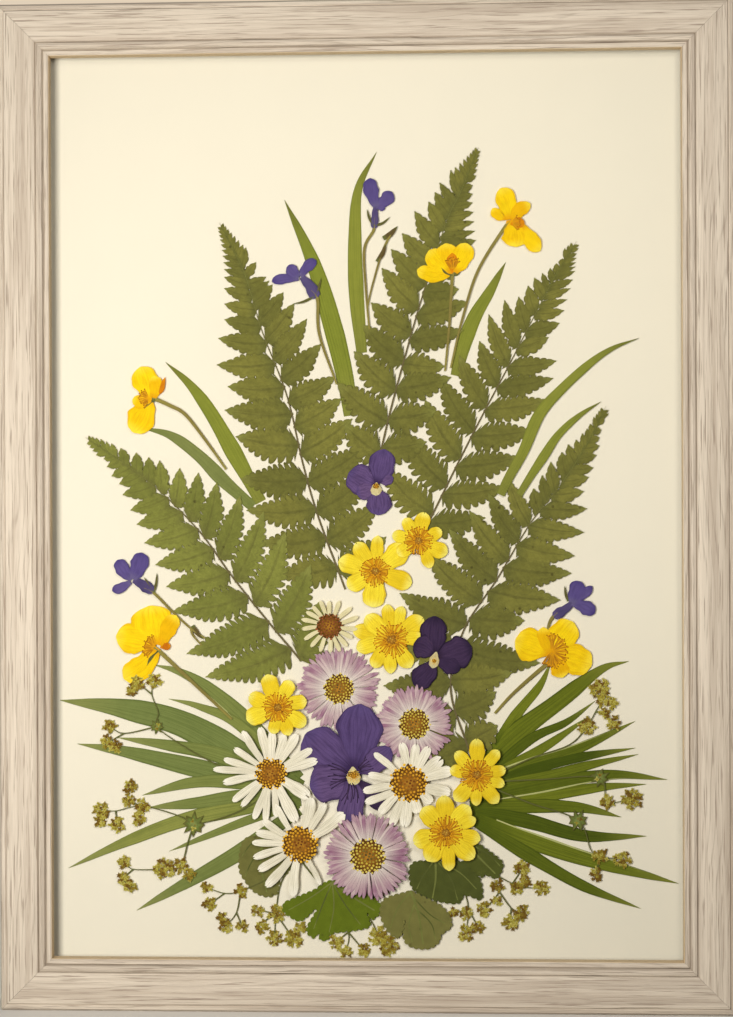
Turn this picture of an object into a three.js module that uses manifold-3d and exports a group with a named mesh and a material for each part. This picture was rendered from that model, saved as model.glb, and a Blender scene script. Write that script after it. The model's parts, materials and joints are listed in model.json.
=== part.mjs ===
// A pressed flower picture: a mitred wooden moulding with a glass sheet, a card
// and a backboard, and the dried plants that lie on the card behind the glass.
// Millimetres, +Z up. The face looks toward -Y and the wall is the plane y = 0.
// The origin is the nail that the sawtooth hanger rests on.
import * as THREE from "three";
import { mergeVertices } from "three/addons/utils/BufferGeometryUtils.js";
import Module from "manifold-3d";

const manifold = await Module();
manifold.setup();

// ---------------------------------------------------------------- sizes

const OPENING = { halfWidth: 100, halfHeight: 143.5, centreZ: -130 };
const SHEET = { halfWidth: 105, halfHeight: 148.5 };
const GLASS = { back: -13.5, thickness: 1.5 };
const CARD = { back: -9.5, thickness: 1.5 };
const BACKBOARD = { back: -6.45, thickness: 3 };
const MITRE_GAP = 0.04;

// Outline across a rail: distance outside the sight edge, and depth y.
const RAIL_PROFILE = [
  [0, -15.05],
  [0, -18.6],
  [0.4, -19.0],
  [1.5, -19.0],
  [1.8, -18.5],
  [2.2, -19.6],
  [3.0, -20.0],
  [3.8, -19.7],
  [4.1, -19.1],
  [4.4, -19.7],
  [5.6, -19.95],
  [9.5, -20.0],
  [14.0, -19.8],
  [14.4, -19.3],
  [14.7, -19.5],
  [15.8, -19.3],
  [16.5, -18.4],
  [16.5, -0.6],
  [15.9, 0],
  [5.5, 0],
  [5.5, -15.05],
];

// The plants lie in thin layers, each in front of the last one.
const LAYERS = { first: -11.03, pitch: 0.19, thickness: 0.15 };
const DISC_HEIGHT = 0.14;
const FLATNESS = 0.07; // corners closer to a straight edge than this are dropped
const WELD = 1e-4; // vertices closer than this are one
const layerBack = (layer) => LAYERS.first - layer * LAYERS.pitch;

// ---------------------------------------------------------------- looks

const look = (color, roughness, metalness = 0, more = {}) =>
  new THREE.MeshStandardMaterial({ color, roughness, metalness, ...more });
const LOOKS = {
  limedWood: look(0xddd0bc, 0.6),
  glass: look(0xffffff, 0.03, 0, { transparent: true, opacity: 0.12 }),
  card: look(0xf4ecd4, 0.9),
  fibreboard: look(0x9c7a52, 0.85),
  zincSteel: look(0xb9b9b4, 0.35, 1),
  fern: look(0x6c7038, 0.85),
  grass: look(0x5f7f30, 0.8),
  buttercup: look(0xfcd20c, 0.5),
  lobelia: look(0x4b3c92, 0.7),
  viola: look(0x50407a, 0.7),
  celandine: look(0xf0dc44, 0.6),
  daisy: look(0xe4e2d0, 0.75),
  aster: look(0xc0a0b6, 0.8),
  leaf: look(0x55702a, 0.8),
  mantle: look(0x968c36, 0.85),
};

const picture = new THREE.Group();
picture.position.z = OPENING.centreZ;
const root = new THREE.Group();
root.add(picture);

// ---------------------------------------------------------------- geometry

const radians = (degrees) => (degrees * Math.PI) / 180;
const point = ([x, z]) => new THREE.Vector2(x, z);

// A flat outline in the picture's plane made into a slab, its back at y = 0.
function slab(outline, thickness = LAYERS.thickness) {
  const geometry = new THREE.ExtrudeGeometry(new THREE.Shape(outline), {
    depth: thickness,
    bevelEnabled: false,
  });
  return geometry.rotateX(Math.PI / 2);
}

function solidOf(geometry) {
  const bare = new THREE.BufferGeometry().setAttribute(
    "position",
    (geometry.index ? geometry.toNonIndexed() : geometry).getAttribute(
      "position",
    ),
  );
  const merged = mergeVertices(bare, WELD);
  return new manifold.Manifold(
    new manifold.Mesh({
      numProp: 3,
      vertProperties: merged.attributes.position.array,
      triVerts: new Uint32Array(merged.index.array),
    }),
  );
}

// The faces of a joined or cut solid, with flat faces in one plane made one.
function geometryOf(solid) {
  const mesh = solid.asOriginal().simplify(FLATNESS).getMesh();
  return new THREE.BufferGeometry()
    .setAttribute(
      "position",
      new THREE.BufferAttribute(new Float32Array(mesh.vertProperties), 3),
    )
    .setIndex(new THREE.BufferAttribute(new Uint32Array(mesh.triVerts), 1));
}

// Grows several overlapping slabs into one piece.
const fused = (geometries) =>
  geometryOf(geometries.map(solidOf).reduce((whole, part) => whole.add(part)));

function piece(name, geometry, material, y = 0, parent = picture) {
  const mesh = new THREE.Mesh(geometry, material);
  mesh.name = name;
  mesh.position.y = y;
  parent.add(mesh);
}

// Value at t of a list of [t, value] stations, straight between them.
function along(stations, t) {
  let before = stations[0];
  for (const after of stations) {
    if (t <= after[0]) {
      const span = after[0] - before[0];
      const share = span > 0 ? (t - before[0]) / span : 0;
      return before[1] + (after[1] - before[1]) * share;
    }
    before = after;
  }
  return before[1];
}

const curveOf = (points) => new THREE.SplineCurve(points.map(point));

// The point at t beside a curve, side to its left, seen from the front.
function beside(curve, t, side) {
  const at = curve.getPointAt(t);
  const way = curve.getTangentAt(t);
  return new THREE.Vector2(at.x - way.y * side, at.y + way.x * side);
}

// A strip along a curve, with half its width given along it.
function strip(points, halfWidth, steps) {
  const curve = curveOf(points);
  const left = [];
  const right = [];
  for (let i = 0; i <= steps; i++) {
    const t = i / steps;
    const half = along(halfWidth, t);
    left.push(beside(curve, t, half));
    right.unshift(beside(curve, t, -half));
  }
  return [...left, ...right];
}

// A narrow leaf's width from its base to its point, as a share of the widest.
const BLADE_SHARE = [
  [0, 0.7],
  [0.35, 1],
  [0.7, 0.72],
  [1, 0.06],
];
const scaled = (stations, by) => stations.map(([t, value]) => [t, value * by]);

function bladeOutline(points, width, steps = 7) {
  return strip(points, scaled(BLADE_SHARE, width / 2), steps);
}

// A rounded petal, turned about its own middle.
function oval([x, z, halfWidth, halfHeight, turn = 0], sides = 9) {
  const outline = [];
  for (let i = 0; i < sides; i++) {
    const angle = (2 * Math.PI * i) / sides;
    const corner = new THREE.Vector2(
      halfWidth * Math.cos(angle),
      halfHeight * Math.sin(angle),
    ).rotateAround(new THREE.Vector2(), radians(turn));
    outline.push(corner.add(point([x, z])));
  }
  return outline;
}

// The low round middle of a flower, fused to its petals.
const DISC_TOP_SHARE = 0.8;
function disc([x, z], radius, sides = 10) {
  const height = LAYERS.thickness + DISC_HEIGHT;
  return new THREE.CylinderGeometry(
    radius,
    radius * DISC_TOP_SHARE,
    height,
    sides,
  ).translate(x, -height / 2, z);
}

// ---------------------------------------------------------------- holder

// One length of moulding, mitred at both ends. "place" puts a point that is
// given along the rail, outside the sight edge and in depth.
function rail(name, halfLength, place) {
  const outline = RAIL_PROFILE.map(point);
  const geometry = new THREE.ExtrudeGeometry(new THREE.Shape(outline), {
    depth: 1,
    bevelEnabled: false,
  });
  const position = geometry.getAttribute("position");
  for (let i = 0; i < position.count; i++) {
    const outward = position.getX(i);
    const end = position.getZ(i) > 0.5 ? 1 : -1;
    const lengthways = end * (halfLength + outward - MITRE_GAP);
    const [x, z] = place(lengthways, outward);
    position.setXYZ(i, x, position.getY(i), z);
  }
  piece(name, facingOut(geometry), LOOKS.limedWood);
}

// Turns every face round when they point into the solid.
function facingOut(geometry) {
  const position = geometry.getAttribute("position");
  const corner = (i) => new THREE.Vector3().fromBufferAttribute(position, i);
  let volume = 0;
  for (let i = 0; i < position.count; i += 3)
    volume += corner(i).dot(corner(i + 1).cross(corner(i + 2)));
  if (volume < 0)
    for (let i = 0; i < position.count; i += 3) {
      const [second, third] = [corner(i + 1), corner(i + 2)];
      position.setXYZ(i + 1, third.x, third.y, third.z);
      position.setXYZ(i + 2, second.x, second.y, second.z);
    }
  return geometry;
}

const { halfWidth: W, halfHeight: H } = OPENING;
rail("rail_top", W, (length, out) => [length, H + out]);
rail("rail_bottom", W, (length, out) => [length, -H - out]);
rail("rail_left", H, (length, out) => [-W - out, length]);
rail("rail_right", H, (length, out) => [W + out, length]);

function sheet(name, { back, thickness }, material) {
  const box = new THREE.BoxGeometry(
    2 * SHEET.halfWidth,
    thickness,
    2 * SHEET.halfHeight,
  );
  piece(name, box, material, back - thickness / 2);
}
sheet("glass", GLASS, LOOKS.glass);
sheet("mount_card", CARD, LOOKS.card);
sheet("backboard", BACKBOARD, LOOKS.fibreboard);

// The hanger is a strip bent to stand off the board, its lower edge notched.
const HANGER = {
  halfLength: 22,
  footLength: 6,
  bottom: -0.6,
  notchDepth: 0.6,
  notchPitch: 2,
  notches: 11,
  top: 7,
  sheetThickness: 0.8,
  standOff: 2.2,
  bendRelief: 0.3,
  wedgeLength: 4,
  boardGap: 0.05,
};

function hanger() {
  const { halfLength, footLength, sheetThickness, standOff } = HANGER;
  const { bendRelief, wedgeLength } = HANGER;
  const foot = 0;
  const inner = halfLength - footLength;
  const bend = inner - standOff;
  // Seen from above: x and y along the bent strip.
  const section = [
    [-halfLength, foot],
    [-inner, foot],
    [-bend, foot + standOff],
    [bend, foot + standOff],
    [inner, foot],
    [halfLength, foot],
    [halfLength, foot + sheetThickness],
    [inner + bendRelief, foot + sheetThickness],
    [bend + bendRelief, foot + standOff + sheetThickness],
    [-bend - bendRelief, foot + standOff + sheetThickness],
    [-inner - bendRelief, foot + sheetThickness],
    [-halfLength, foot + sheetThickness],
  ].map(point);
  const { top, bottom, notchDepth, notchPitch, notches } = HANGER;
  const bent = new THREE.ExtrudeGeometry(new THREE.Shape(section), {
    depth: top - bottom,
    bevelEnabled: false,
  }).translate(0, 0, bottom);
  let solid = solidOf(bent);
  for (let i = 0; i < notches; i++) {
    const x = (i - (notches - 1) / 2) * notchPitch;
    const cut = new THREE.Shape(
      [
        [x - notchPitch / 2, bottom - notchDepth],
        [x + notchPitch / 2, bottom - notchDepth],
        [x, bottom + notchDepth],
      ].map(point),
    );
    const wedge = new THREE.ExtrudeGeometry(cut, {
      depth: wedgeLength,
      bevelEnabled: false,
    })
      .rotateX(Math.PI / 2)
      .translate(0, foot + standOff + wedgeLength / 2, 0);
    solid = solid.subtract(solidOf(wedge));
  }
  return geometryOf(solid);
}
piece(
  "sawtooth_hanger",
  hanger(),
  LOOKS.zincSteel,
  BACKBOARD.back + HANGER.boardGap,
  root,
);

// Flexible tabs: driven into the rebate wall and bent over the board's back.
const TAB = { length: 14, width: 8, thickness: 0.5, wallGap: 0.1, boardGap: 0.05 };
const REBATE = 5.5;
const TAB_HEIGHT = 80;
for (const [side, sign] of [
  ["left", -1],
  ["right", 1],
])
  for (const [height, z] of [
    ["upper", TAB_HEIGHT],
    ["lower", -TAB_HEIGHT],
  ]) {
    const outer = W + REBATE - TAB.wallGap;
    const box = new THREE.BoxGeometry(TAB.length, TAB.thickness, TAB.width);
    piece(
      `tab_${side}_${height}`,
      box.translate(sign * (outer - TAB.length / 2), 0, z),
      LOOKS.zincSteel,
      BACKBOARD.back + TAB.boardGap + TAB.thickness / 2,
    );
  }

// ---------------------------------------------------------------- ferns

// Lengths of the leaflets on each side, and their angle to the stalk, are
// given along the stalk from its base (0) to its tip (1).
const FERNS = {
  fern_frond_left_low: {
    layer: 2,
    stalk: [
      [-21, -49],
      [-31.5, -36.5],
      [-43, -22],
      [-54, -7],
      [-70.5, 9],
      [-90, 22.5],
    ],
    left: [[0, 22], [0.08, 26], [0.2, 27], [0.3, 24], [0.45, 19.5], [0.6, 15], [0.73, 9.5], [0.87, 5], [1, 1]],
    right: [[0, 12], [0.12, 21], [0.2, 23.5], [0.36, 21], [0.52, 16.5], [0.68, 12], [0.84, 7], [1, 1]],
    leftAngle: [[0, 70], [0.5, 66], [1, 52]],
    rightAngle: [[0, 64], [0.5, 56], [1, 38]],
  },
  fern_frond_left_tall: {
    layer: 1,
    stalk: [
      [-6.5, -26.5],
      [-15, -3.5],
      [-20, 14],
      [-25, 35.5],
      [-33, 56.5],
      [-38.5, 75],
      [-46.5, 91],
    ],
    left: [[0, 12], [0.19, 20], [0.3, 22.5], [0.46, 21.5], [0.59, 19], [0.66, 16], [0.75, 11], [0.85, 7], [1, 1]],
    right: [[0, 12], [0.19, 19], [0.3, 22], [0.46, 17], [0.66, 14.5], [0.75, 11], [0.85, 6], [1, 1]],
    leftAngle: [[0, 76], [0.5, 72], [1, 60]],
    rightAngle: [[0, 76], [0.5, 70], [1, 60]],
  },
  fern_frond_centre: {
    layer: 2,
    stalk: [
      [3, 9],
      [8, 30],
      [12.5, 46.5],
      [18, 65.5],
      [26, 90],
      [31, 100.5],
      [36.5, 114],
    ],
    left: [[0, 16], [0.1, 19], [0.28, 17.5], [0.5, 17.5], [0.62, 15], [0.74, 12], [0.86, 7.5], [1, 1]],
    right: [[0, 14], [0.25, 16], [0.45, 17], [0.55, 12.5], [0.66, 11], [0.8, 6], [1, 1]],
    leftAngle: [[0, 66], [0.6, 62], [1, 50]],
    rightAngle: [[0, 68], [0.6, 65], [1, 50]],
  },
  fern_frond_right_tall: {
    layer: 1,
    stalk: [
      [19, -7.5],
      [30, 14.5],
      [38, 30],
      [45.5, 44],
      [52.5, 57.5],
      [61, 73.5],
      [67.5, 84],
    ],
    left: [[0, 15], [0.2, 21], [0.4, 20], [0.58, 16], [0.68, 14], [0.78, 9], [0.9, 4.5], [1, 1]],
    right: [[0, 13], [0.2, 18], [0.4, 20], [0.55, 15.5], [0.64, 11], [0.75, 9.5], [0.87, 7], [1, 1]],
    leftAngle: [[0, 54], [0.6, 48], [1, 40]],
    rightAngle: [[0, 58], [0.6, 52], [1, 42]],
  },
  fern_frond_right_low: {
    layer: 2,
    stalk: [
      [33, -78.5],
      [27, -58.5],
      [31, -40],
      [42, -23],
      [52.5, -5.5],
      [62.5, 7],
      [72, 22],
      [76.5, 31.5],
    ],
    left: [[0, 8], [0.15, 11], [0.25, 15], [0.45, 17], [0.6, 14.5], [0.75, 9.5], [0.9, 5], [1, 1]],
    right: [[0, 10], [0.15, 16], [0.25, 25], [0.4, 22.5], [0.55, 20], [0.7, 15], [0.8, 10], [0.9, 6.5], [1, 1]],
    leftAngle: [[0, 64], [0.5, 56], [1, 42]],
    rightAngle: [[0, 84], [0.3, 78], [0.5, 64], [0.8, 50], [1, 42]],
  },
};
const LEAFLET_PITCH = [[0, 11], [0.33, 9.8], [0.5, 8], [0.7, 6], [0.85, 4.8], [1, 4]];
const STALK_HALF_WIDTH = [[0, 0.6], [1, 0.2]];
const STALK_END = 1.5; // no leaflet starts nearer the tip than this

// A leaflet's outline on one side: distance from its base as a share of its
// length, and half its width as a share of the whole width.
const LEAFLET_SIDE = [
  [-0.01, 0.51],
  [0.34, 0.47],
];

function leaflet(base, way, length, spread) {
  const across = new THREE.Vector2(-way.y, way.x);
  const at = (forward, sideways) =>
    base
      .clone()
      .addScaledVector(way, forward * length)
      .addScaledVector(across, sideways * spread);
  return [
    ...LEAFLET_SIDE.map(([forward, half]) => at(forward, -half)),
    at(1, 0),
    ...LEAFLET_SIDE.toReversed().map(([forward, half]) => at(forward, half)),
  ];
}

for (const [name, fern] of Object.entries(FERNS)) {
  const stalk = curveOf(fern.stalk);
  const reach = stalk.getLength();
  const parts = [slab(strip(fern.stalk, STALK_HALF_WIDTH, 10))];
  let travelled = along(LEAFLET_PITCH, 0) / 2;
  while (travelled < reach - STALK_END) {
    const t = travelled / reach;
    const pitch = along(LEAFLET_PITCH, t);
    const base = stalk.getPointAt(t);
    const heading = stalk.getTangentAt(t);
    for (const [lengths, angles, sign] of [
      [fern.left, fern.leftAngle, 1],
      [fern.right, fern.rightAngle, -1],
    ]) {
      const angle = radians(along(angles, t));
      const way = heading.clone().rotateAround(new THREE.Vector2(), sign * angle);
      const spread = pitch * Math.sin(angle);
      parts.push(slab(leaflet(base, way, along(lengths, t), spread)));
    }
    travelled += pitch;
  }
  piece(name, fused(parts), LOOKS.fern, layerBack(fern.layer));
}

// ---------------------------------------------------------------- grass

const SINGLE_BLADES = {
  grass_blade_a: [0, 6.4, [[-4.5, 29], [-6.2, 40.5], [-10, 56.5], [-16.4, 78], [-25.5, 98]]],
  grass_blade_b: [0, 5, [[-1, 49], [-2.5, 66], [-3, 85], [-2, 101], [4, 113]]],
  grass_blade_c: [0, 5, [[29, 41.5], [31, 49.5], [35, 60], [40, 68.5], [45, 77.5]]],
  grass_blade_d: [0, 5.4, [[-33.5, 1.5], [-40, 13.5], [-49, 29.5], [-56, 39], [-64, 46.5]]],
  grass_blade_e: [0, 4.6, [[-39.5, 2], [-45.5, 8.5], [-53.5, 16.5], [-62.5, 23], [-72, 25.5]]],
  grass_blade_f: [3, 3.8, [[50.5, 17.5], [55.5, 29], [63, 37.5], [72, 45.5], [79, 50], [87, 53]]],
  grass_blade_g: [3, 3, [[53, 10], [57, 16], [61.5, 22.5], [68, 28.5], [75, 33]]],
};
for (const [name, [layer, width, line]] of Object.entries(SINGLE_BLADES))
  piece(name, slab(bladeOutline(line, width)), LOOKS.grass, layerBack(layer));

// Width of each blade, then its line from the base outward.
const LEFT_TUFT = [
  [5, [[-21.5, -87], [-38, -69], [-50, -58.5], [-59.5, -53], [-68.5, -50.5]]],
  [3.6, [[-21.5, -88.5], [-40.5, -70], [-53.5, -64], [-63.5, -61.5]]],
  [7, [[-21.5, -91], [-42, -78.5], [-59.5, -69], [-79, -64], [-98.5, -62]]],
  [4, [[-21.5, -91], [-46, -80], [-63, -76.5], [-80, -74]]],
  [4.4, [[-24.5, -92], [-43.5, -86], [-60, -82.5], [-77.5, -78.5], [-93, -76]]],
  [4, [[-24.5, -90.5], [-42, -88], [-56.5, -88.5], [-72, -92.5]]],
  [4, [[-24.5, -92.5], [-40.5, -93], [-55, -95], [-70.5, -96.5]]],
  [5.2, [[-21, -94], [-40, -96.5], [-59, -100.5], [-77.5, -107.5], [-96, -116]]],
  [3, [[-21.5, -95.5], [-35.5, -99.5], [-48.5, -104.5], [-63.5, -110.5]]],
  [5.4, [[-21.5, -97], [-39, -109.5], [-56, -119.5], [-74, -129.5]]],
];
const RIGHT_TUFT = [
  [3.6, [[41, -76], [49, -65], [55.5, -57], [59, -49.5]]],
  [6.6, [[33, -87.5], [46, -74], [61.5, -62], [75, -52], [83.5, -49.5]]],
  [3.4, [[36.5, -87.5], [52, -74.5], [63.5, -69], [73, -62]]],
  [3.4, [[36.5, -87.5], [55.5, -77.5], [71, -67]]],
  [4.4, [[33, -89], [52, -82.5], [68, -77], [85.5, -68.5]]],
  [4, [[33, -90.5], [52, -84], [68, -80], [85.5, -77]]],
  [4, [[33, -91], [55.5, -86.5], [71, -82.5], [86.5, -79]]],
  [4.8, [[33, -93.5], [55.5, -89], [77.5, -85.5], [95.5, -87]]],
  [4.4, [[33, -95.5], [55.5, -92.5], [74.5, -89.5], [89, -88.5]]],
  [5, [[33, -95.5], [52, -95.5], [68, -96], [81, -99]]],
  [5, [[33, -97], [52, -100.5], [69.5, -105], [89, -105]]],
  [5.6, [[33, -98.5], [52, -106.5], [74, -113.5], [99, -120]]],
  [4.6, [[33, -99.5], [49, -109.5], [68, -120.5], [87, -128]]],
];
for (const [name, blades] of [
  ["grass_tuft_left", LEFT_TUFT],
  ["grass_tuft_right", RIGHT_TUFT],
])
  piece(
    name,
    fused(blades.map(([width, line]) => slab(bladeOutline(line, width, 6)))),
    LOOKS.grass,
    layerBack(0),
  );

// ------------------------------------------------- flowers on their stems

// Each has its petals as ovals (x, z, half width, half height, turn), and its
// stem and other narrow parts as lines with a width at either end.
const STEMMED = {
  buttercup_left_high: {
    layer: 3,
    petals: [[-72, 40, 4.3, 5, 0], [-72.5, 29.5, 3.6, 4.6, -20], [-67, 37.5, 2.6, 4.6, -30], [-70.5, 34.5, 4, 4, 0]],
    lines: [[[-68, 34.5], [-62.5, 32.5], [-57.5, 29.5], [-50.5, 20.5], [-44.5, 12]]],
    widths: [1.3, 0.9],
  },
  buttercup_right_high: {
    layer: 3,
    petals: [[45, 96.5, 4.4, 4.2, 20], [49.5, 94, 3.6, 3.6, 0], [47, 89, 3, 4, 10], [54.4, 85, 2.8, 4.2, 20], [50.5, 90, 4.2, 4.2, 0]],
    lines: [[[46, 90], [44, 87.5], [36, 74.5], [31, 59], [27.4, 44]]],
    widths: [1.1, 0.8],
  },
  buttercup_centre: {
    layer: 3,
    petals: [[21, 78, 4.2, 3.4, 0], [25.5, 80, 4.2, 3.4, 0], [30.5, 78, 4, 4, 0], [26, 76.5, 4.4, 2.6, 0]],
    lines: [[[27.5, 76], [28, 73], [27, 57.5], [25.6, 43]]],
    widths: [1.1, 0.8],
  },
  buttercup_left_low: {
    layer: 3,
    petals: [[-67.5, -37, 6, 5.4, 0], [-75.5, -43.5, 4.2, 5, 10], [-76, -49, 3.2, 5.4, 12], [-63, -39.5, 2.8, 4.6, -20], [-70.5, -43, 5, 4, 0]],
    lines: [[[-69, -45], [-66, -46.5], [-59.5, -52.5], [-51, -60.5], [-43, -68]]],
    widths: [1.4, 1],
  },
  buttercup_right_low: {
    layer: 3,
    petals: [[53, -42.5, 5.4, 5.2, 0], [63.5, -41.5, 5.2, 5, 0], [67.5, -50.5, 4.6, 5.4, 10], [60, -46, 4.6, 4, 0], [62.5, -51, 3.6, 3.4, 0]],
    lines: [[[60, -48], [58.5, -49.5], [52, -55], [46, -60.5], [41, -66]]],
    widths: [1.4, 1],
  },
  lobelia_top: {
    layer: 3,
    petals: [[2, 101.5, 2.4, 3, 10], [6.5, 99, 2.8, 2, 30], [4.4, 95.8, 1.4, 4.4, 6]],
    lines: [
      [[4.5, 97.5], [3, 88], [0, 82], [0.5, 68.5], [1.5, 56.5]],
      [[9, 89], [7, 84], [5, 79], [2, 68.5], [0.9, 63]],
    ],
    widths: [1.3, 0.7],
  },
  lobelia_left_high: {
    layer: 3,
    petals: [[-25.5, 75, 3.6, 2, 10], [-20, 76.5, 3, 2, 40], [-21, 73.5, 3.4, 1.8, -20], [-17.5, 70, 1.3, 3, 25]],
    lines: [[[-21, 74], [-15, 66], [-14.5, 55], [-9, 39]]],
    widths: [1.3, 0.7],
  },
  lobelia_left_low: {
    layer: 3,
    petals: [[-73, -17.5, 3, 3, 0], [-78, -19.5, 2.6, 2.6, 0], [-78.5, -25, 3, 1.5, 25], [-75, -21.5, 2.4, 2.4, 0], [-71.8, -25.6, 4.2, 1.4, -28]],
    lines: [
      [[-75, -23], [-68, -27.5], [-62, -33.5], [-56, -39], [-51.5, -42]],
      [[-68.2, -27.4], [-67.8, -24.5], [-67.4, -21.5]],
      [[-56, -39], [-55.5, -41], [-52.6, -44.4]],
    ],
    widths: [1.1, 0.8],
  },
  lobelia_right: {
    layer: 3,
    petals: [[67, -27.2, 2.8, 3.2, 0], [71.5, -28.4, 2, 2.6, 0], [69.5, -32.7, 3.4, 2.6, 0], [63, -32.5, 3.6, 1.5, 38]],
    lines: [
      [[66, -30.5], [60.5, -34.5], [58.5, -37], [57.8, -39.5]],
      [[63.8, -30.5], [62.8, -28], [62, -25]],
    ],
    widths: [1.6, 1],
  },
};
for (const [name, { layer, petals, lines, widths }] of Object.entries(STEMMED)) {
  const taper = [
    [0, widths[0] / 2],
    [1, widths[1] / 2],
  ];
  const parts = [
    ...petals.map((petal) => slab(oval(petal))),
    ...lines.map((line) => slab(strip(line, taper, 6))),
  ];
  const isLobelia = name.startsWith("lobelia");
  const material = isLobelia ? LOOKS.lobelia : LOOKS.buttercup;
  piece(name, fused(parts), material, layerBack(layer));
}

const VIOLAS = {
  viola_top: {
    layer: 3,
    petals: [[-1.7, 10, 4, 4.7, 20], [6, 12.4, 4, 5.2, -15], [4.2, 1.4, 4, 3.4, 0], [-0.5, 5.5, 3, 2.6, 0], [6, 6.5, 3, 3, 0]],
  },
  viola_right: {
    layer: 5,
    petals: [[21.5, -39.5, 4.2, 4.6, 0], [18.5, -44.8, 3.8, 4, 0], [29, -45, 4.8, 4.4, 0], [27, -50, 4.2, 3.4, 0], [19.5, -53.6, 4.6, 4, 20], [23, -46.5, 3.4, 3.4, 0]],
  },
  viola_large: {
    layer: 7,
    petals: [[-2, -71, 7.2, 8, 0], [-14, -78, 6.6, 6.6, 0], [-13, -86.2, 6, 6, 0], [4.4, -79, 4.6, 5.6, 0], [-4.8, -94, 4, 6, 0], [-5, -84, 6, 6, 0]],
  },
};
for (const [name, { layer, petals }] of Object.entries(VIOLAS))
  piece(
    name,
    fused(petals.map((petal) => slab(oval(petal, 11)))),
    LOOKS.viola,
    layerBack(layer),
  );

// ------------------------------------------------- round flowers

// Petals: direction in degrees, length from the middle, widest width.
const CELANDINES = {
  celandine_1: { layer: 3, at: [3.2, -20.7], disc: 4.2, petals: [[86, 11.4, 4], [124, 11.1, 5], [164, 12.3, 6], [210, 10.4, 5.5], [266, 11.6, 7.2], [340, 12.3, 6], [40, 12.8, 7]] },
  celandine_2: { layer: 4, at: [16.9, -11], disc: 4, petals: [[77, 9.3, 4.8], [122, 8.4, 4], [167, 8.6, 4], [213, 8, 4.5], [23, 8.2, 4], [336, 10.1, 5], [294, 9.6, 3.8]] },
  celandine_3: { layer: 4, at: [8.3, -42.5], disc: 5, petals: [[72, 11.2, 3.9], [97, 11.4, 4], [136, 11.2, 6], [165, 12.9, 5], [195, 11.7, 5], [236, 10.8, 4.5], [268, 10.9, 4], [304, 10.8, 5], [34, 12.3, 5.5], [4, 10, 4.5]] },
  celandine_4: { layer: 9, at: [-28.1, -64], disc: 4.2, petals: [[12, 9.5, 4.6], [327, 10.6, 5], [292, 9.7, 4.2], [259, 8.7, 3.8], [202, 10.8, 6], [158, 10, 5], [108, 11, 5.4], [62, 9.5, 4.6]] },
  celandine_5: { layer: 9, at: [35.2, -85.4], disc: 4.6, petals: [[90, 11.5, 4.7], [48, 10.5, 3.8], [11, 9.4, 3.8], [339, 9.4, 3.6], [307, 11.2, 4.5], [269, 9.9, 3.6], [230, 10.8, 5], [168, 8.7, 4], [133, 9.9, 4.2]] },
  celandine_6: { layer: 11, at: [25.3, -103.8], disc: 4.6, petals: [[93, 11.9, 5.5], [48, 11.4, 5.5], [25, 10.6, 4], [349, 11.2, 5], [318, 12.1, 5.5], [275, 12.2, 4.2], [236, 10.8, 6], [197, 10.8, 6], [132, 10.8, 6]] },
};
const DAISIES = {
  daisy_1: { layer: 8, at: [-30.4, -85.2], disc: 5.1, petals: [[124, 16.3, 3.3], [146, 14.3, 3], [163, 15.8, 3], [176, 18.6, 3], [191, 15.7, 3.4], [216, 15.2, 3.2], [228, 14.4, 2.6], [249, 15.6, 3.2], [263, 15.4, 3], [277, 14, 3], [297, 17.4, 5], [328, 14.4, 5.4], [16, 15.5, 4], [31, 15.3, 3.6], [56, 15.2, 4], [71, 13.4, 3.4], [88, 13.6, 3.6], [103, 15.2, 3.8]] },
  daisy_2: { layer: 8, at: [13.6, -88.2], disc: 6, petals: [[100, 13.2, 3.8], [79, 12.8, 3.8], [61, 13.4, 4], [37, 13.3, 5.4], [17, 14.4, 5], [347, 13.6, 5], [320, 9.6, 4], [287, 10, 4.6], [264, 14, 5], [247, 14.7, 4], [226, 13.6, 4], [204, 15.3, 3.4], [190, 14.8, 3.6], [168, 13.3, 3.2], [139, 14.6, 3]] },
  daisy_3: { layer: 9, at: [-21.2, -107.8], disc: 5.8, petals: [[76, 15.5, 4.6], [58, 15.6, 3.4], [35, 17.4, 5], [121, 14.9, 2.8], [147, 14.2, 3.4], [165, 14.6, 3.6], [178, 15.3, 3], [196, 15.6, 3.2], [212, 15.8, 3.6], [231, 17.4, 4], [262, 16.8, 4.2], [297, 14.5, 2.4]] },
  daisy_4: { layer: 5, at: [-11.6, -38.2], disc: 4.1, petals: [[130, 8.4, 1.9], [110, 8.7, 1.9], [90, 8, 1.9], [68, 8.7, 1.9], [40, 9.3, 2], [18, 9.7, 2], [354, 9, 1.9], [333, 8.4, 1.9], [312, 8.7, 1.9], [293, 8.9, 1.9], [272, 8.5, 1.9], [250, 8.8, 1.9], [228, 9, 1.9], [208, 9.2, 1.9], [186, 9, 1.9], [166, 9.2, 1.9], [148, 8.8, 1.9]] },
};
const ASTERS = {
  aster_1: { layer: 3, at: [-8.7, -58.3], disc: 4.9, radius: 13.6 },
  aster_2: { layer: 6, at: [15.4, -69.4], disc: 5, radius: 12.6 },
  aster_3: { layer: 10, at: [0.4, -111.5], disc: 5.7, radius: 14.4 },
};
const ASTER_RAYS = 22;
const ASTER_NOTCH = 0.88; // reach between two rays, as a share of the radius
const ASTER_SHORT_RAY = 0.94; // reach of every third ray

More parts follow.
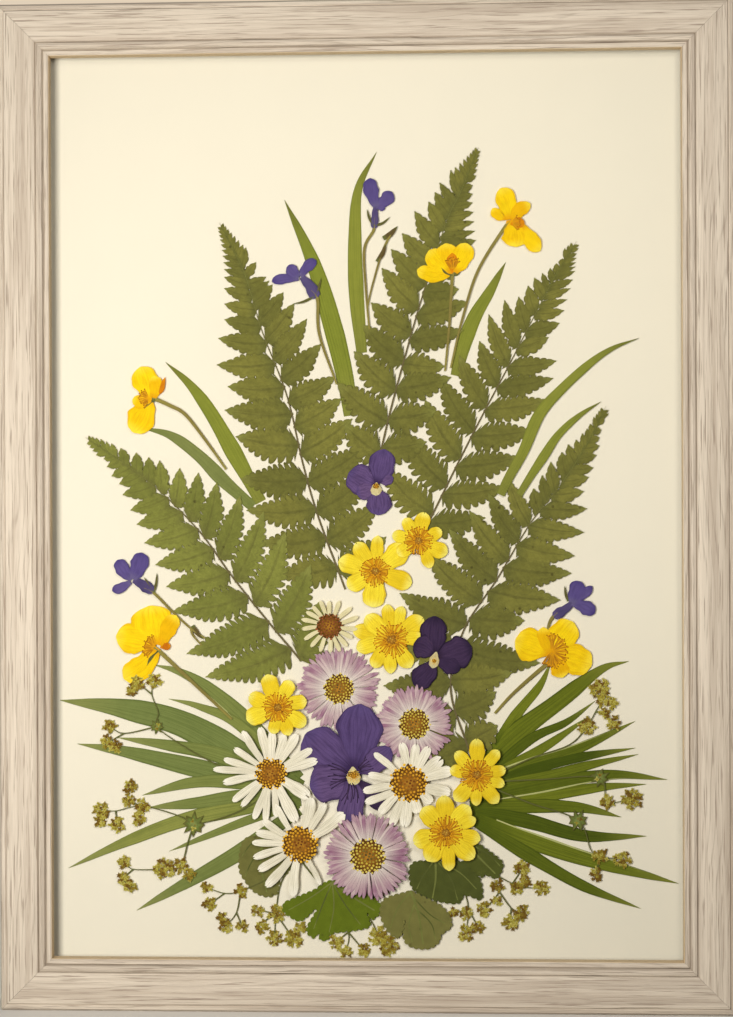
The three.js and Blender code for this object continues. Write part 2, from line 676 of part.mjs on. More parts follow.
// A petal of a round flower: broad ones are widest past their middle, and
// narrow ones, as a daisy's, near their blunt end.
const broad = (length) => [
  [1, -0.22],
  [length * 0.68, -0.5],
  [length, -0.2],
  [length, 0.2],
  [length * 0.68, 0.5],
  [1, 0.22],
];
const narrow = (length) => [
  [1, -0.25],
  [length * 0.97, -0.4],
  [length * 0.97, 0.4],
  [1, 0.25],
];
function ray([x, z], form, direction, length, width) {
  return form(length).map(([out, side]) =>
    new THREE.Vector2(out, side * width)
      .rotateAround(new THREE.Vector2(), radians(direction))
      .add(point([x, z])),
  );
}

for (const [flowers, form, material] of [
  [CELANDINES, broad, LOOKS.celandine],
  [DAISIES, narrow, LOOKS.daisy],
])
  for (const [name, flower] of Object.entries(flowers)) {
    const petals = flower.petals.map(([direction, length, width]) =>
      slab(ray(flower.at, form, direction, length, width)),
    );
    const whole = fused([...petals, disc(flower.at, flower.disc)]);
    piece(name, whole, material, layerBack(flower.layer));
  }

// An aster's many rays lie side by side, so its outline is a notched round.
for (const [name, aster] of Object.entries(ASTERS)) {
  const [x, z] = aster.at;
  const outline = [];
  for (let i = 0; i < ASTER_RAYS; i++) {
    const step = (2 * Math.PI) / ASTER_RAYS;
    const tip = aster.radius * (i % 3 === 0 ? ASTER_SHORT_RAY : 1);
    for (const [turn, reach] of [
      [0, aster.radius * ASTER_NOTCH],
      [0.5, tip],
    ]) {
      const angle = (i + turn) * step;
      outline.push(
        point([x + reach * Math.cos(angle), z + reach * Math.sin(angle)]),
      );
    }
  }
  const whole = fused([slab(outline), disc(aster.at, aster.disc)]);
  piece(name, whole, LOOKS.aster, layerBack(aster.layer));
}

// ---------------------------------------------------------------- leaves

const LEAVES = {
  leaf_1: [3, [[-26.5, -126.5], [-23, -125], [-17, -122.5], [-11.5, -119.5], [-2, -121], [4, -126.5], [4, -130], [1.5, -132], [0, -129.5], [1, -134], [-4, -135.5], [-11, -136.5], [-12.5, -138.5], [-15, -138.5], [-15.5, -136.5], [-17, -138], [-19, -136.5], [-19, -134], [-16, -128.5], [-21, -132.5], [-25, -131], [-27, -129]]],
  leaf_2: [4, [[14, -122.5], [6, -125], [4.3, -128], [4.5, -131.5], [7, -136], [10.5, -137.5], [12.5, -131.5], [11.5, -136.5], [12.5, -139.5], [15.5, -141], [20, -141], [23, -139], [24, -136.5], [27, -134], [26.5, -130.5], [24, -127.5], [20.5, -125.5]]],
  leaf_3: [3, [[22, -113], [15, -113.5], [13.5, -117.5], [15, -122.5], [21, -125.5], [25.5, -126.5], [29.5, -126.5], [31.5, -124], [36, -125.5], [37, -123.5], [36, -118.5], [31.5, -113.5]]],
  leaf_4: [4, [[34.5, -106.5], [42, -112], [43.5, -114.5], [41.5, -118.5], [38, -117.5], [36, -118], [30.5, -112]]],
  leaf_5: [1, [[-34, -105], [-38.5, -106], [-40.5, -109.5], [-41, -116], [-39, -120], [-36, -123.5], [-31.5, -125], [-28.5, -123.5], [-27.5, -119], [-24.5, -116], [-26, -108.5]]],
};
for (const [name, [layer, outline]] of Object.entries(LEAVES))
  piece(name, slab(outline.map(point)), LOOKS.leaf, layerBack(layer));

// ---------------------------------------------------------------- sprays

// Lady's mantle: thin branching stalks, and clusters of tiny flowers as rounds
// (x, z, radius).
const SPRAYS = {
  mantle_spray_left: {
    layer: 3,
    stalks: [
      [[-30, -91], [-45, -84], [-58, -77], [-67.2, -70.4], [-66.6, -66], [-68.8, -60], [-67.8, -55.7]],
      [[-68.8, -60], [-73.2, -56.5]],
      [[-67.2, -70.4], [-77.8, -72.6], [-82.2, -70.5]],
      [[-77.8, -72.6], [-83, -75.5]],
      [[-30, -91], [-42, -98], [-55.4, -101.7], [-59, -99.4], [-71.9, -95.9], [-80.6, -97.5], [-85, -97]],
      [[-71.9, -95.9], [-76.4, -94], [-76, -89.6]],
      [[-71.9, -95.9], [-73.2, -99.9]],
      [[-80.6, -97.5], [-80, -102]],
      [[-55.4, -101.7], [-57.3, -107.4], [-59.7, -115], [-64.9, -116], [-75, -116.2], [-78, -114]],
      [[-75, -116.2], [-78.2, -119.3], [-76, -121.7]],
    ],
    heads: [[-67.8, -55.7, 2.3], [-73.4, -56.6, 2.3], [-75.5, -59.2, 1.5], [-67.2, -70.4, 2.2], [-82.4, -70.4, 2], [-83.2, -75.4, 2], [-80.5, -76.8, 2], [-76, -89.6, 2], [-76.4, -94, 2], [-71.9, -95.9, 2.3], [-73.2, -100, 2.2], [-85.2, -97.4, 2.6], [-85.5, -100.6, 2], [-80, -102, 2.3], [-55.4, -101.7, 3.6], [-78, -113.9, 2], [-78.2, -119.4, 2], [-76, -121.7, 2], [-65, -116, 3.3], [-59.7, -115, 2.3], [-57, -117.8, 2]],
  },
  mantle_spray_bottom_left: {
    layer: 2,
    stalks: [
      [[-22, -112], [-30.5, -118.4], [-40.4, -123], [-45.6, -123.8], [-51.2, -122]],
      [[-45.6, -123.8], [-50.3, -127.2]],
      [[-40.4, -123], [-41.8, -130], [-45.2, -134.2]],
      [[-41.8, -130], [-40, -134.2]],
      [[-22, -112], [-27.4, -120.4], [-29.1, -130.3], [-29.6, -138]],
      [[-29.1, -130.3], [-35, -129]],
      [[-29.1, -130.3], [-34.3, -133.5]],
      [[-29.1, -130.3], [-23.5, -138.3]],
      [[-22, -112], [-12, -125], [-6, -136], [-6.8, -142.4]],
      [[-6, -136], [-10, -139.2]],
      [[-12, -125], [0, -131], [3.8, -137.2], [7.2, -140.4]],
      [[-6, -136], [-1, -141.8]],
    ],
    heads: [[-51.2, -122, 1.7], [-50.3, -127.2, 2.1], [-40.4, -123, 2], [-46.4, -131.4, 1.7], [-45.2, -134.2, 2.2], [-40, -134.2, 1.9], [-35, -129.4, 2], [-33.6, -134.4, 2], [-29.1, -130.3, 2.7], [-29.6, -138, 2.5], [-23.5, -138.3, 2.8], [-21.2, -134.8, 2], [-10, -139.2, 2.3], [-6.8, -142.4, 1.9], [-1, -141.8, 1.9], [3.8, -137.2, 3], [7.2, -140.4, 3]],
  },
  mantle_spray_bottom_right: {
    layer: 2,
    stalks: [
      [[28, -110], [31.4, -123.3], [32.4, -128.6], [31.6, -136]],
      [[32.4, -128.6], [28, -129.6]],
      [[32.4, -128.6], [35.4, -134]],
      [[28, -110], [42.2, -118], [46.4, -120.2], [50.5, -121.4], [55.6, -121.6]],
      [[46.4, -120.2], [49.6, -115.4]],
      [[42.2, -118], [42.2, -122.8], [37.4, -128.6]],
      [[42.2, -122.8], [46, -128], [49, -129.6]],
      [[46, -128], [45.6, -132.7]],
    ],
    heads: [[27.6, -129.4, 1.4], [31.6, -129.8, 2], [31.6, -136, 2.6], [35.4, -134.2, 2], [41.6, -121, 2.1], [37.4, -128.6, 2.3], [41.4, -125.6, 1.6], [49.6, -115.4, 2.5], [50.2, -119.6, 1.8], [47.6, -121.8, 2], [55.6, -121.6, 2.3], [49, -129.6, 2.5], [45.6, -132.7, 2.5]],
  },
  mantle_spray_right: {
    layer: 3,
    stalks: [
      [[36, -88], [52, -80.5], [64.5, -76], [70.2, -70.2], [72.8, -65.6], [75, -61.5], [74.2, -58]],
      [[75, -61.5], [78.2, -62.6]],
      [[72.8, -65.6], [75.6, -65.8], [78.4, -69]],
      [[36, -88], [56, -87], [74, -86.4], [76.4, -94], [84.2, -93.2]],
      [[36, -88], [52, -94.5], [67.2, -100], [71.3, -109.4], [74.2, -111.4], [81.2, -112.3]],
      [[74.2, -111.4], [73, -117]],
    ],
    heads: [[74.2, -58.2, 3.1], [75.2, -62, 2], [78.2, -62.6, 1.7], [75.7, -65.8, 1.7], [70.2, -70.2, 2.6], [78.4, -69, 2.3], [74.2, -86.4, 2.8], [76.5, -94.1, 2.2], [84.2, -93.2, 3.2], [67.2, -100, 3.1], [74.2, -111.4, 2.3], [81.2, -112.3, 2.6], [73, -117, 2]],
  },
};
const SPRAY_STALK_WIDTH = 0.55;
const HEAD_SIDES = 5;
const HEAD_TURN = 17; // degrees from one head to the next

// A stalk with straight lengths between its joints.
function stalkOutline(joints, width) {
  const line = joints.map(point);
  const left = [];
  const right = [];
  line.forEach((joint, i) => {
    const before = line[Math.max(i - 1, 0)];
    const after = line[Math.min(i + 1, line.length - 1)];
    const way = after.clone().sub(before).normalize();
    const side = new THREE.Vector2(-way.y, way.x).multiplyScalar(width / 2);
    left.push(joint.clone().add(side));
    right.unshift(joint.clone().sub(side));
  });
  return [...left, ...right];
}

for (const [name, spray] of Object.entries(SPRAYS)) {
  const parts = [
    ...spray.stalks.map((joints) =>
      slab(stalkOutline(joints, SPRAY_STALK_WIDTH)),
    ),
    ...spray.heads.map(([x, z, radius], i) =>
      slab(oval([x, z, radius, radius, i * HEAD_TURN], HEAD_SIDES)),
    ),
  ];
  piece(name, fused(parts), LOOKS.mantle, layerBack(spray.layer));
}

export default root;
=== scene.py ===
"""Looks of a pressed flower picture: limed moulding, glass, card and dried plants.

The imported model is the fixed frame. Every dried plant is built here from thin
tissues and stands for its plain solid; the holder keeps its solids and gets its
materials. Sizes in the tables are millimetres, x and z from the middle of the
opening, as one would measure them on the picture. Blender gets metres.
"""

from __future__ import annotations

import json
import logging
import math
import random
from dataclasses import dataclass
from enum import Enum
from typing import Any, Callable, Sequence

import bpy
import numpy as np
from mathutils import Matrix, Vector

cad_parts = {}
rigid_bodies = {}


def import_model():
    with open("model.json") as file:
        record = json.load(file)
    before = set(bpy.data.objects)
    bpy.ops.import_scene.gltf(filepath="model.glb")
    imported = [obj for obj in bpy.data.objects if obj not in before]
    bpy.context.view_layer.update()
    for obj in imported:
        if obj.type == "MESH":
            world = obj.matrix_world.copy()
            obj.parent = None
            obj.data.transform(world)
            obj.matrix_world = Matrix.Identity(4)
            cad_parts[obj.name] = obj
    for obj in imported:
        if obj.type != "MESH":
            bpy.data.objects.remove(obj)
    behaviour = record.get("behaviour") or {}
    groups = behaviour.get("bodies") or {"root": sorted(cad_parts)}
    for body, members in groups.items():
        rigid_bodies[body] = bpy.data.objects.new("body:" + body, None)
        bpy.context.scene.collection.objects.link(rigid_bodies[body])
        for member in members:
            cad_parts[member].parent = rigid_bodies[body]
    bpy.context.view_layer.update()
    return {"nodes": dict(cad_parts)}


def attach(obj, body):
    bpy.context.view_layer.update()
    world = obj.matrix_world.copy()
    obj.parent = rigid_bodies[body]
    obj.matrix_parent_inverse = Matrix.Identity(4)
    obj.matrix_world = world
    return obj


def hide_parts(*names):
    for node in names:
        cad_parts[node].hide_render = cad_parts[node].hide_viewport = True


LOG = logging.getLogger("pressed_flowers")

Piece = bpy.types.Object
Mesh = bpy.types.Mesh
Material = bpy.types.Material
Node = bpy.types.Node
Tree = bpy.types.NodeTree
Point = tuple[float, float]
Stations = Sequence[tuple[float, float]]
Triple = tuple[float, float, float]
Colour = tuple[float, float, float, float]
Rgb = tuple[int, int, int]

MM = 0.001
OPENING_HALF = (100.0, 143.5)
CENTRE_Z = -130.0
FIRST_LAYER = -11.03
LAYER_PITCH = 0.19
LAYER_DEPTH = 0.15
FRONT_CLEARANCE = 0.03
TISSUE_THICKNESS = 0.09
LIFT_STEP = 0.012
WAVE_DEPTH = 0.012
DISC_LIFT = 0.09
FLORET_HEIGHT = 0.11
FULL_TURN = 6.28
SMOOTH_BELOW = 35
GOLDEN_ANGLE = 137.508
RAIL_WIDTH = 16.5
DARK_SPOT = (58, 52, 28)
WHITE = (1.0, 1.0, 1.0, 1.0)


def colour(red: int, green: int, blue: int) -> Colour:
    """Linear colour of an 8-bit one, as a shader takes it."""

    def linear(value: int) -> float:
        """One channel, as a share of full light."""
        share = value / 255
        return share / 12.92 if share <= 0.04045 else ((share + 0.055) / 1.055) ** 2.4

    return (linear(red), linear(green), linear(blue), 1.0)


# ------------------------------------------------------------------ drawing


class Line:
    """A smooth line through points in the picture's plane.

    Args:
        points: the points that the line passes, in millimetres.
    """

    STEPS = 20

    def __init__(self, points: Sequence[Point]) -> None:
        """Lays the line through the points."""
        given = np.array(points, float)
        first, last = 2 * given[0] - given[1], 2 * given[-1] - given[-2]
        padded = np.vstack([first, given, last])
        share = np.linspace(0, 1, self.STEPS, endpoint=False)[:, None]
        runs = [
            0.5
            * (
                2 * b
                + (c - a) * share
                + (2 * a - 5 * b + 4 * c - d) * share**2
                + (3 * b - a - 3 * c + d) * share**3
            )
            for a, b, c, d in zip(padded, padded[1:], padded[2:], padded[3:])
        ]
        self.track = np.vstack([*runs, given[-1:]])
        gaps = np.linalg.norm(np.diff(self.track, axis=0), axis=1)
        self.travel = np.concatenate([[0.0], np.cumsum(gaps)])
        self.length = float(self.travel[-1])

    def at(self, share: np.ndarray | float) -> np.ndarray:
        """Points at these shares of the length."""
        gone = np.clip(share, 0, 1) * self.length
        return np.stack(
            [np.interp(gone, self.travel, self.track[:, i]) for i in (0, 1)], axis=-1
        )

    def way(self, share: np.ndarray | float) -> np.ndarray:
        """Unit directions along the line at these shares."""
        share = np.clip(share, 0, 1)
        ahead, behind = np.minimum(share + 0.02, 1), np.maximum(share - 0.02, 0)
        run = self.at(ahead) - self.at(behind)
        return run / np.linalg.norm(run, axis=-1, keepdims=True)


def station(stations: Stations, share: np.ndarray | float) -> np.ndarray:
    """Value of a list of (share, value) stations, straight between them."""
    places, values = zip(*stations)
    return np.interp(share, places, values)


def nearest(line: Line, spot: np.ndarray) -> float:
    """Share of a line's length at which it comes nearest to a spot."""
    shares = np.linspace(0, 1, 200)
    return float(shares[np.argmin(np.linalg.norm(line.at(shares) - spot, axis=1))])


def turned(direction: float, length: float) -> np.ndarray:
    """The step of this length in a direction, in degrees from +x to +z."""
    angle = math.radians(direction)
    return np.array([math.cos(angle), math.sin(angle)]) * length


@dataclass(frozen=True)
class Margin:
    """How a tissue's edge is cut into lobes.

    Attributes:
        lobes: number of lobes along each side.
        root_depth: share of the width that a notch takes near the base.
        tip_depth: the same near the tip.
        fade: share of the length over which the one becomes the other.
        lean: how far a lobe points forward, as a share of its width.
        notch: how far the middle of the tip is drawn in, in millimetres.
        ruffle: share by which the width wavers.
    """

    lobes: int = 0
    root_depth: float = 0.0
    tip_depth: float = 0.0
    fade: float = 1.0
    lean: float = 0.0
    notch: float = 0.0
    ruffle: float = 0.0

    def share(self, along: np.ndarray) -> np.ndarray:
        """Share of the full width that is left at each place along."""
        if not self.lobes:
            return np.ones_like(along)
        phase = (along * self.lobes + 0.4) % 1
        lobe = np.interp(phase, (0, 0.2, 0.4, 0.6, 0.8, 1), (0, 0.72, 0.94, 1, 0.86, 0))
        fade = np.clip(1 - along / self.fade, 0, 1)
        depth = self.tip_depth + (self.root_depth - self.tip_depth) * fade
        return 1 - depth * (1 - lobe)


class Form(Enum):
    """Half width of a tissue from its base to its tip, as a share of the widest."""

    BLADE = ((0, 0.7), (0.35, 1), (0.7, 0.72), (0.88, 0.36), (1, 0.02))
    STALK = ((0, 1), (1, 0.55))
    RACHIS = ((0, 1), (0.4, 0.8), (0.7, 0.45), (1, 0.12))
    STRAP = ((0, 0.5), (0.3, 0.72), (0.65, 0.98), (0.84, 1), (0.94, 0.8), (1, 0.3))
    RAY = ((0, 0.35), (0.4, 0.7), (0.8, 1), (0.94, 0.8), (1, 0.3))
    BROAD = ((0, 0.42), (0.25, 0.72), (0.6, 1), (0.8, 0.93), (0.92, 0.68), (1, 0.1))
    ROUND = ((0, 0.12), (0.1, 0.34), (0.25, 0.66), (0.45, 0.93), (0.62, 1),
             (0.78, 0.9), (0.9, 0.66), (0.97, 0.38), (1, 0.08))
    LEAFLET = ((0, 0.07), (0.025, 0.1), (0.045, 0.9), (0.14, 1), (0.35, 0.96),
               (0.55, 0.76), (0.74, 0.48), (0.88, 0.24), (1, 0.01))
    JOINED_LEAFLET = ((0, 1), (0.35, 0.96), (0.6, 0.74), (0.8, 0.42), (1, 0.02))
    SPEAR = ((0, 0.6), (0.4, 1), (1, 0.03))
    THREAD = ((0, 1), (1, 1))


# ------------------------------------------------------------------ shaders


class Board:
    """A node tree with short ways to add nodes and join them."""

    def __init__(self, tree: Tree) -> None:
        """Takes the tree to work on."""
        self.tree = tree

    def add(
        self, kind: str, inputs: dict[Any, Any] | None = None, **settings: Any
    ) -> Node:
        """Adds a node, sets its fields and fills or links its inputs."""
        node = self.tree.nodes.new(kind)
        for name, value in settings.items():
            setattr(node, name, value)
        for key, value in (inputs or {}).items():
            self.feed(node, key, value)
        return node

    def feed(self, node: Node, key: str | int, value: Any) -> None:
        """Links a socket to a node's input, or sets the input to a value."""
        if isinstance(value, bpy.types.NodeSocket):
            self.tree.links.new(value, node.inputs[key])
        else:
            node.inputs[key].default_value = value

    def sum(self, operation: str, *values: Any, clamp: bool = False) -> Any:
        """Result of a math node."""
        inputs = dict(enumerate(values))
        node = self.add("ShaderNodeMath", inputs, operation=operation, use_clamp=clamp)
        return node.outputs[0]

    def times(self, first: Any, second: Any) -> Any:
        """Product of two values."""
        return self.sum("MULTIPLY", first, second)

    def mix(self, share: Any, first: Any, second: Any, blend: str = "MIX") -> Any:
        """Colour between two, or one blended with the other."""
        node = self.add("ShaderNodeMix", data_type="RGBA", blend_type=blend)
        for index, value in ((0, share), (6, first), (7, second)):
            self.feed(node, index, value)
        return node.outputs[2]

    def ramp(self, share: Any, stops: Sequence[tuple[float, Colour]]) -> Any:
        """Colour of a ramp with these stops."""
        node = self.add("ShaderNodeValToRGB", {0: share})
        elements = node.color_ramp.elements
        while len(elements) < len(stops):
            elements.new(0.5)
        for element, (place, value) in zip(elements, stops):
            element.position = place
            element.color = value
        return node.outputs[0]

    def step(self, value: Any, low: float, high: float) -> Any:
        """0 below low, 1 above high and smooth between."""
        inputs = {"Value": value, "From Min": low, "From Max": high}
        node = self.add(
            "ShaderNodeMapRange", inputs, interpolation_type="SMOOTHSTEP", clamp=True
        )
        return node.outputs[0]

    def noise(self, vector: Any, scale: float, detail: float = 3.0, **more: Any) -> Any:
        """Grey of a noise texture."""
        inputs = {"Vector": vector, "Scale": scale, "Detail": detail, **more}
        return self.add("ShaderNodeTexNoise", inputs).outputs[0]

    def shade(self) -> Any:
        """The shade that a plant's part was given, from 0 to 1."""
        return self.add("ShaderNodeAttribute", attribute_name="shade").outputs["Fac"]

    def place(self, scale: Sequence[float] = (1, 1, 1)) -> Any:
        """Object coordinates, stretched."""
        here = self.add("ShaderNodeTexCoord").outputs["Object"]
        inputs = {"Vector": here, "Scale": scale}
        return self.add("ShaderNodeMapping", inputs).outputs[0]


def group(
    name: str, colours: Sequence[str], numbers: Sequence[str]
) -> tuple[Board, Any, Node]:
    """Starts a node group that gives a colour and a height.

    Args:
        name: the group's name.
        colours: names of the inputs that are colours.
        numbers: names of the inputs that are numbers.

    Returns:
        The board of the group, the sockets that bring its inputs in, and the node
        that takes its results.
    """
    tree = bpy.data.node_groups.new(name, "ShaderNodeTree")
    colour_kind, number_kind = "NodeSocketColor", "NodeSocketFloat"
    for way, labels, kind in (
        ("INPUT", colours, colour_kind), ("INPUT", numbers, number_kind),
        ("OUTPUT", ("Colour",), colour_kind), ("OUTPUT", ("Height",), number_kind),
    ):
        for label in labels:
            tree.interface.new_socket(label, in_out=way, socket_type=kind)
    board = Board(tree)
    return board, board.add("NodeGroupInput").outputs, board.add("NodeGroupOutput")


class Effects:
    """The shader effects that several finishes share, each built once."""

    def __init__(self) -> None:
        """Builds the effects."""
        self.mottle = self._mottle()
        self.tissue = self._tissue()
        self.fibre = self._fibre()

    @staticmethod
    def _mottle() -> Tree:
        """Cloudy light and dark over a colour, with a little relief."""
        board, given, out = group("Mottle", ("Colour",), ("Amount", "Scale"))
        cloud = board.noise(board.place(), given["Scale"], 4.0)
        spread = board.sum("MULTIPLY_ADD", cloud, 2.0, -1.0)
        gain = board.sum("MULTIPLY_ADD", spread, given["Amount"], 1.0)
        tinted = board.mix(1.0, given["Colour"], gain, "MULTIPLY")
        board.feed(out, "Colour", tinted)
        board.feed(out, "Height", cloud)
        return board.tree

    @staticmethod
    def _tissue() -> Tree:
        """Root, body and tip colours, lengthwise veins and a rim, over the UV."""
        board, given, out = group(
            "Dried tissue",
            ("Root", "Body", "Tip", "Other", "Vein"),
            ("Root Reach", "Tip Reach", "Vein Count", "Vein Strength", "Side Veins",
             "Rim Strength"),
        )
        spread = board.add("ShaderNodeTexCoord").outputs["UV"]
        parts = board.add("ShaderNodeSeparateXYZ", {0: spread}).outputs
        across, along = parts[0], parts[1]
        here = board.place()
        waver = board.noise(here, 500.0, 2.0)
        bent = board.sum("MULTIPLY_ADD", waver, 0.05, across)
        shade = board.shade()
        body = board.mix(shade, given["Body"], given["Other"])
        near_root = board.sum("DIVIDE", along, given["Root Reach"], clamp=True)
        root_free = board.step(near_root, 0.0, 1.0)
        rooted = board.mix(root_free, given["Root"], body)
        from_tip = board.sum("SUBTRACT", 1.0, along)
        near_tip = board.sum("DIVIDE", from_tip, given["Tip Reach"], clamp=True)
        tipped = board.mix(board.step(near_tip, 0.0, 1.0), given["Tip"], rooted)
        lines = board.times(bent, given["Vein Count"])
        beat = board.sum("PINGPONG", lines, 0.5)
        line = board.step(beat, 0.42, 0.5)
        fade = board.step(from_tip, 0.0, 0.3)
        strength = board.times(line, given["Vein Strength"])
        faded = board.times(strength, fade)
        veined = board.mix(faded, tipped, given["Vein"])
        lanes = board.add(
            "ShaderNodeCombineXYZ",
            {
                0: board.times(across, 13.0),
                1: board.times(along, 2.4),
                2: board.times(shade, 40.0),
            },
        ).outputs[0]
        streak = board.step(board.noise(lanes, 1.0, 3.0), 0.42, 0.68)
        share = board.times(streak, given["Vein Strength"])
        veined = board.mix(board.times(share, 0.75), veined, given["Vein"])
        off_middle = board.sum("ABSOLUTE", board.sum("SUBTRACT", across, 0.5))
        slanted = board.sum("MULTIPLY_ADD", off_middle, -0.2, along)
        ribs = board.times(slanted, given["Side Veins"])
        rib = board.step(board.sum("PINGPONG", ribs, 0.5), 0.4, 0.5)
        has_ribs = board.sum("MINIMUM", given["Side Veins"], 1.0)
        rib = board.times(board.times(rib, has_ribs), 0.45)
        veined = board.mix(
            board.times(rib, given["Vein Strength"]), veined, given["Vein"]
        )
        rim = board.step(off_middle, 0.4, 0.5)
        rimmed = board.mix(
            board.times(rim, given["Rim Strength"]), veined, given["Vein"]
        )
        board.feed(out, "Colour", rimmed)
        board.feed(out, "Height", board.sum("SUBTRACT", 1.0, line))
        return board.tree

    @staticmethod
    def _fibre() -> Tree:
        """Long fine fibres between two colours, on already stretched coordinates."""
        board, given, out = group("Fibre", ("Vector", "Light", "Dark"), ("Contrast",))
        broad = board.noise(given["Vector"], 0.35, 2.0)
        fine = board.noise(given["Vector"], 1.6, 6.0, Roughness=0.7)
        both = board.sum("MULTIPLY_ADD", broad, 0.6, board.times(fine, 0.6))
        mask = board.step(both, 0.48, 0.76)
        share = board.times(mask, given["Contrast"])
        board.feed(out, "Colour", board.mix(share, given["Light"], given["Dark"]))
        board.feed(out, "Height", board.sum("SUBTRACT", 1.0, mask))
        return board.tree


def blank(name: str) -> tuple[Material, Board, Node]:
    """A material with a bare Principled shader, its board and that shader."""
    material = bpy.data.materials.new(name)
    material.use_nodes = True
    board = Board(material.node_tree)
    return material, board, material.node_tree.nodes["Principled BSDF"]


def bump(board: Board, height: Any, depth: float, shader: Node) -> None:
    """Gives a shader relief of this depth in millimetres."""
    inputs = {"Height": height, "Strength": 1.0, "Distance": depth * MM}
    board.feed(shader, "Normal", board.add("ShaderNodeBump", inputs).outputs[0])


def use(board: Board, tree: Tree, inputs: dict[str, Any]) -> Any:
    """Places a node group in a material and returns its outputs."""
    return board.add("ShaderNodeGroup", inputs, node_tree=tree).outputs


def cloud_over(
    board: Board, effects: Effects, shown: Any, amount: float, scale: float
) -> Any:
    """Clouds a colour and returns the outputs of the effect."""
    return use(
        board, effects.mottle, {"Colour": shown, "Amount": amount, "Scale": scale}
    )


def dress(
    board: Board, shader: Node, shown: Any, rough: Any, gloss: float = 0.5
) -> None:
    """Sets a shader's colour, roughness and share of mirrored light."""
    board.feed(shader, "Base Color", shown)
    board.feed(shader, "Roughness", rough)
    board.feed(shader, "Specular IOR Level", gloss)


@dataclass(frozen=True)
class TissueFinish:
    """Colours and lines of one kind of dried tissue."""

    name: str
    body: Rgb
    other: Rgb
    vein: Rgb
    root: Rgb | None = None
    tip: Rgb | None = None
    veins: float = 8.0
    side_veins: float = 0.0
    vein_strength: float = 0.3
    rim: float = 0.2
    root_reach: float = 0.3
    tip_reach: float = 0.3
    mottle: float = 0.12
    mottle_scale: float = 350.0
    roughness: float = 0.6
    gloss: float = 0.25
    relief: float = 0.02
    spots: float = 0.0

    def make(self, effects: Effects) -> Material:
        """The material of this finish."""
        material, board, shader = blank(self.name)
        tissue = use(
            board, effects.tissue,
            {
                "Root": colour(*(self.root or self.body)), "Body": colour(*self.body),
                "Tip": colour(*(self.tip or self.body)), "Other": colour(*self.other),
                "Vein": colour(*self.vein), "Root Reach": self.root_reach,
                "Tip Reach": self.tip_reach, "Vein Count": self.veins,
                "Vein Strength": self.vein_strength, "Side Veins": self.side_veins,
                "Rim Strength": self.rim,
            },
        )
        cloud = cloud_over(
            board, effects, tissue["Colour"], self.mottle, self.mottle_scale
        )
        shown = cloud["Colour"]
        if self.spots:
            cells = board.add(
                "ShaderNodeTexVoronoi", {"Vector": board.place(), "Scale": 260.0}
            ).outputs["Distance"]
            dot = board.sum("SUBTRACT", 1.0, board.step(cells, 0.08, 0.16))
            here = board.step(board.noise(board.place(), 90.0, 1.0), 0.5, 0.62)
            share = board.times(board.times(dot, here), self.spots)
            shown = board.mix(share, shown, colour(*DARK_SPOT))
        dress(board, shader, shown, self.roughness, self.gloss)
        height = board.sum("MULTIPLY_ADD", cloud["Height"], 0.6, tissue["Height"])
        bump(board, height, self.relief, shader)
        return material


@dataclass(frozen=True)
class RadialFinish:
    """Colours of a flower's middle from its centre outward."""

    name: str
    stops: tuple[tuple[float, Rgb], ...]

    ROUGHNESS = 0.8
    GLOSS = 0.2

    def make(self, effects: Effects) -> Material:
        """The material of this finish."""
        material, board, shader = blank(self.name)
        shade = board.shade()
        waver = board.noise(board.place(), 900.0, 2.0)
        inner = board.sum("SUBTRACT", shade, 0.08)
        place = board.sum("MULTIPLY_ADD", waver, 0.16, inner)
        ring = board.ramp(place, [(at, colour(*rgb)) for at, rgb in self.stops])
        cloud = cloud_over(board, effects, ring, 0.45, 1500.0)
        dress(board, shader, cloud["Colour"], self.ROUGHNESS, self.GLOSS)
        bump(board, cloud["Height"], 0.06, shader)
        return material


class GrainWay(Enum):
    """Which way a rail's grain runs, as the stretch of its coordinates."""

    UPRIGHT = (1100.0, 1100.0, 22.0)
    LEVEL = (22.0, 1100.0, 1100.0)


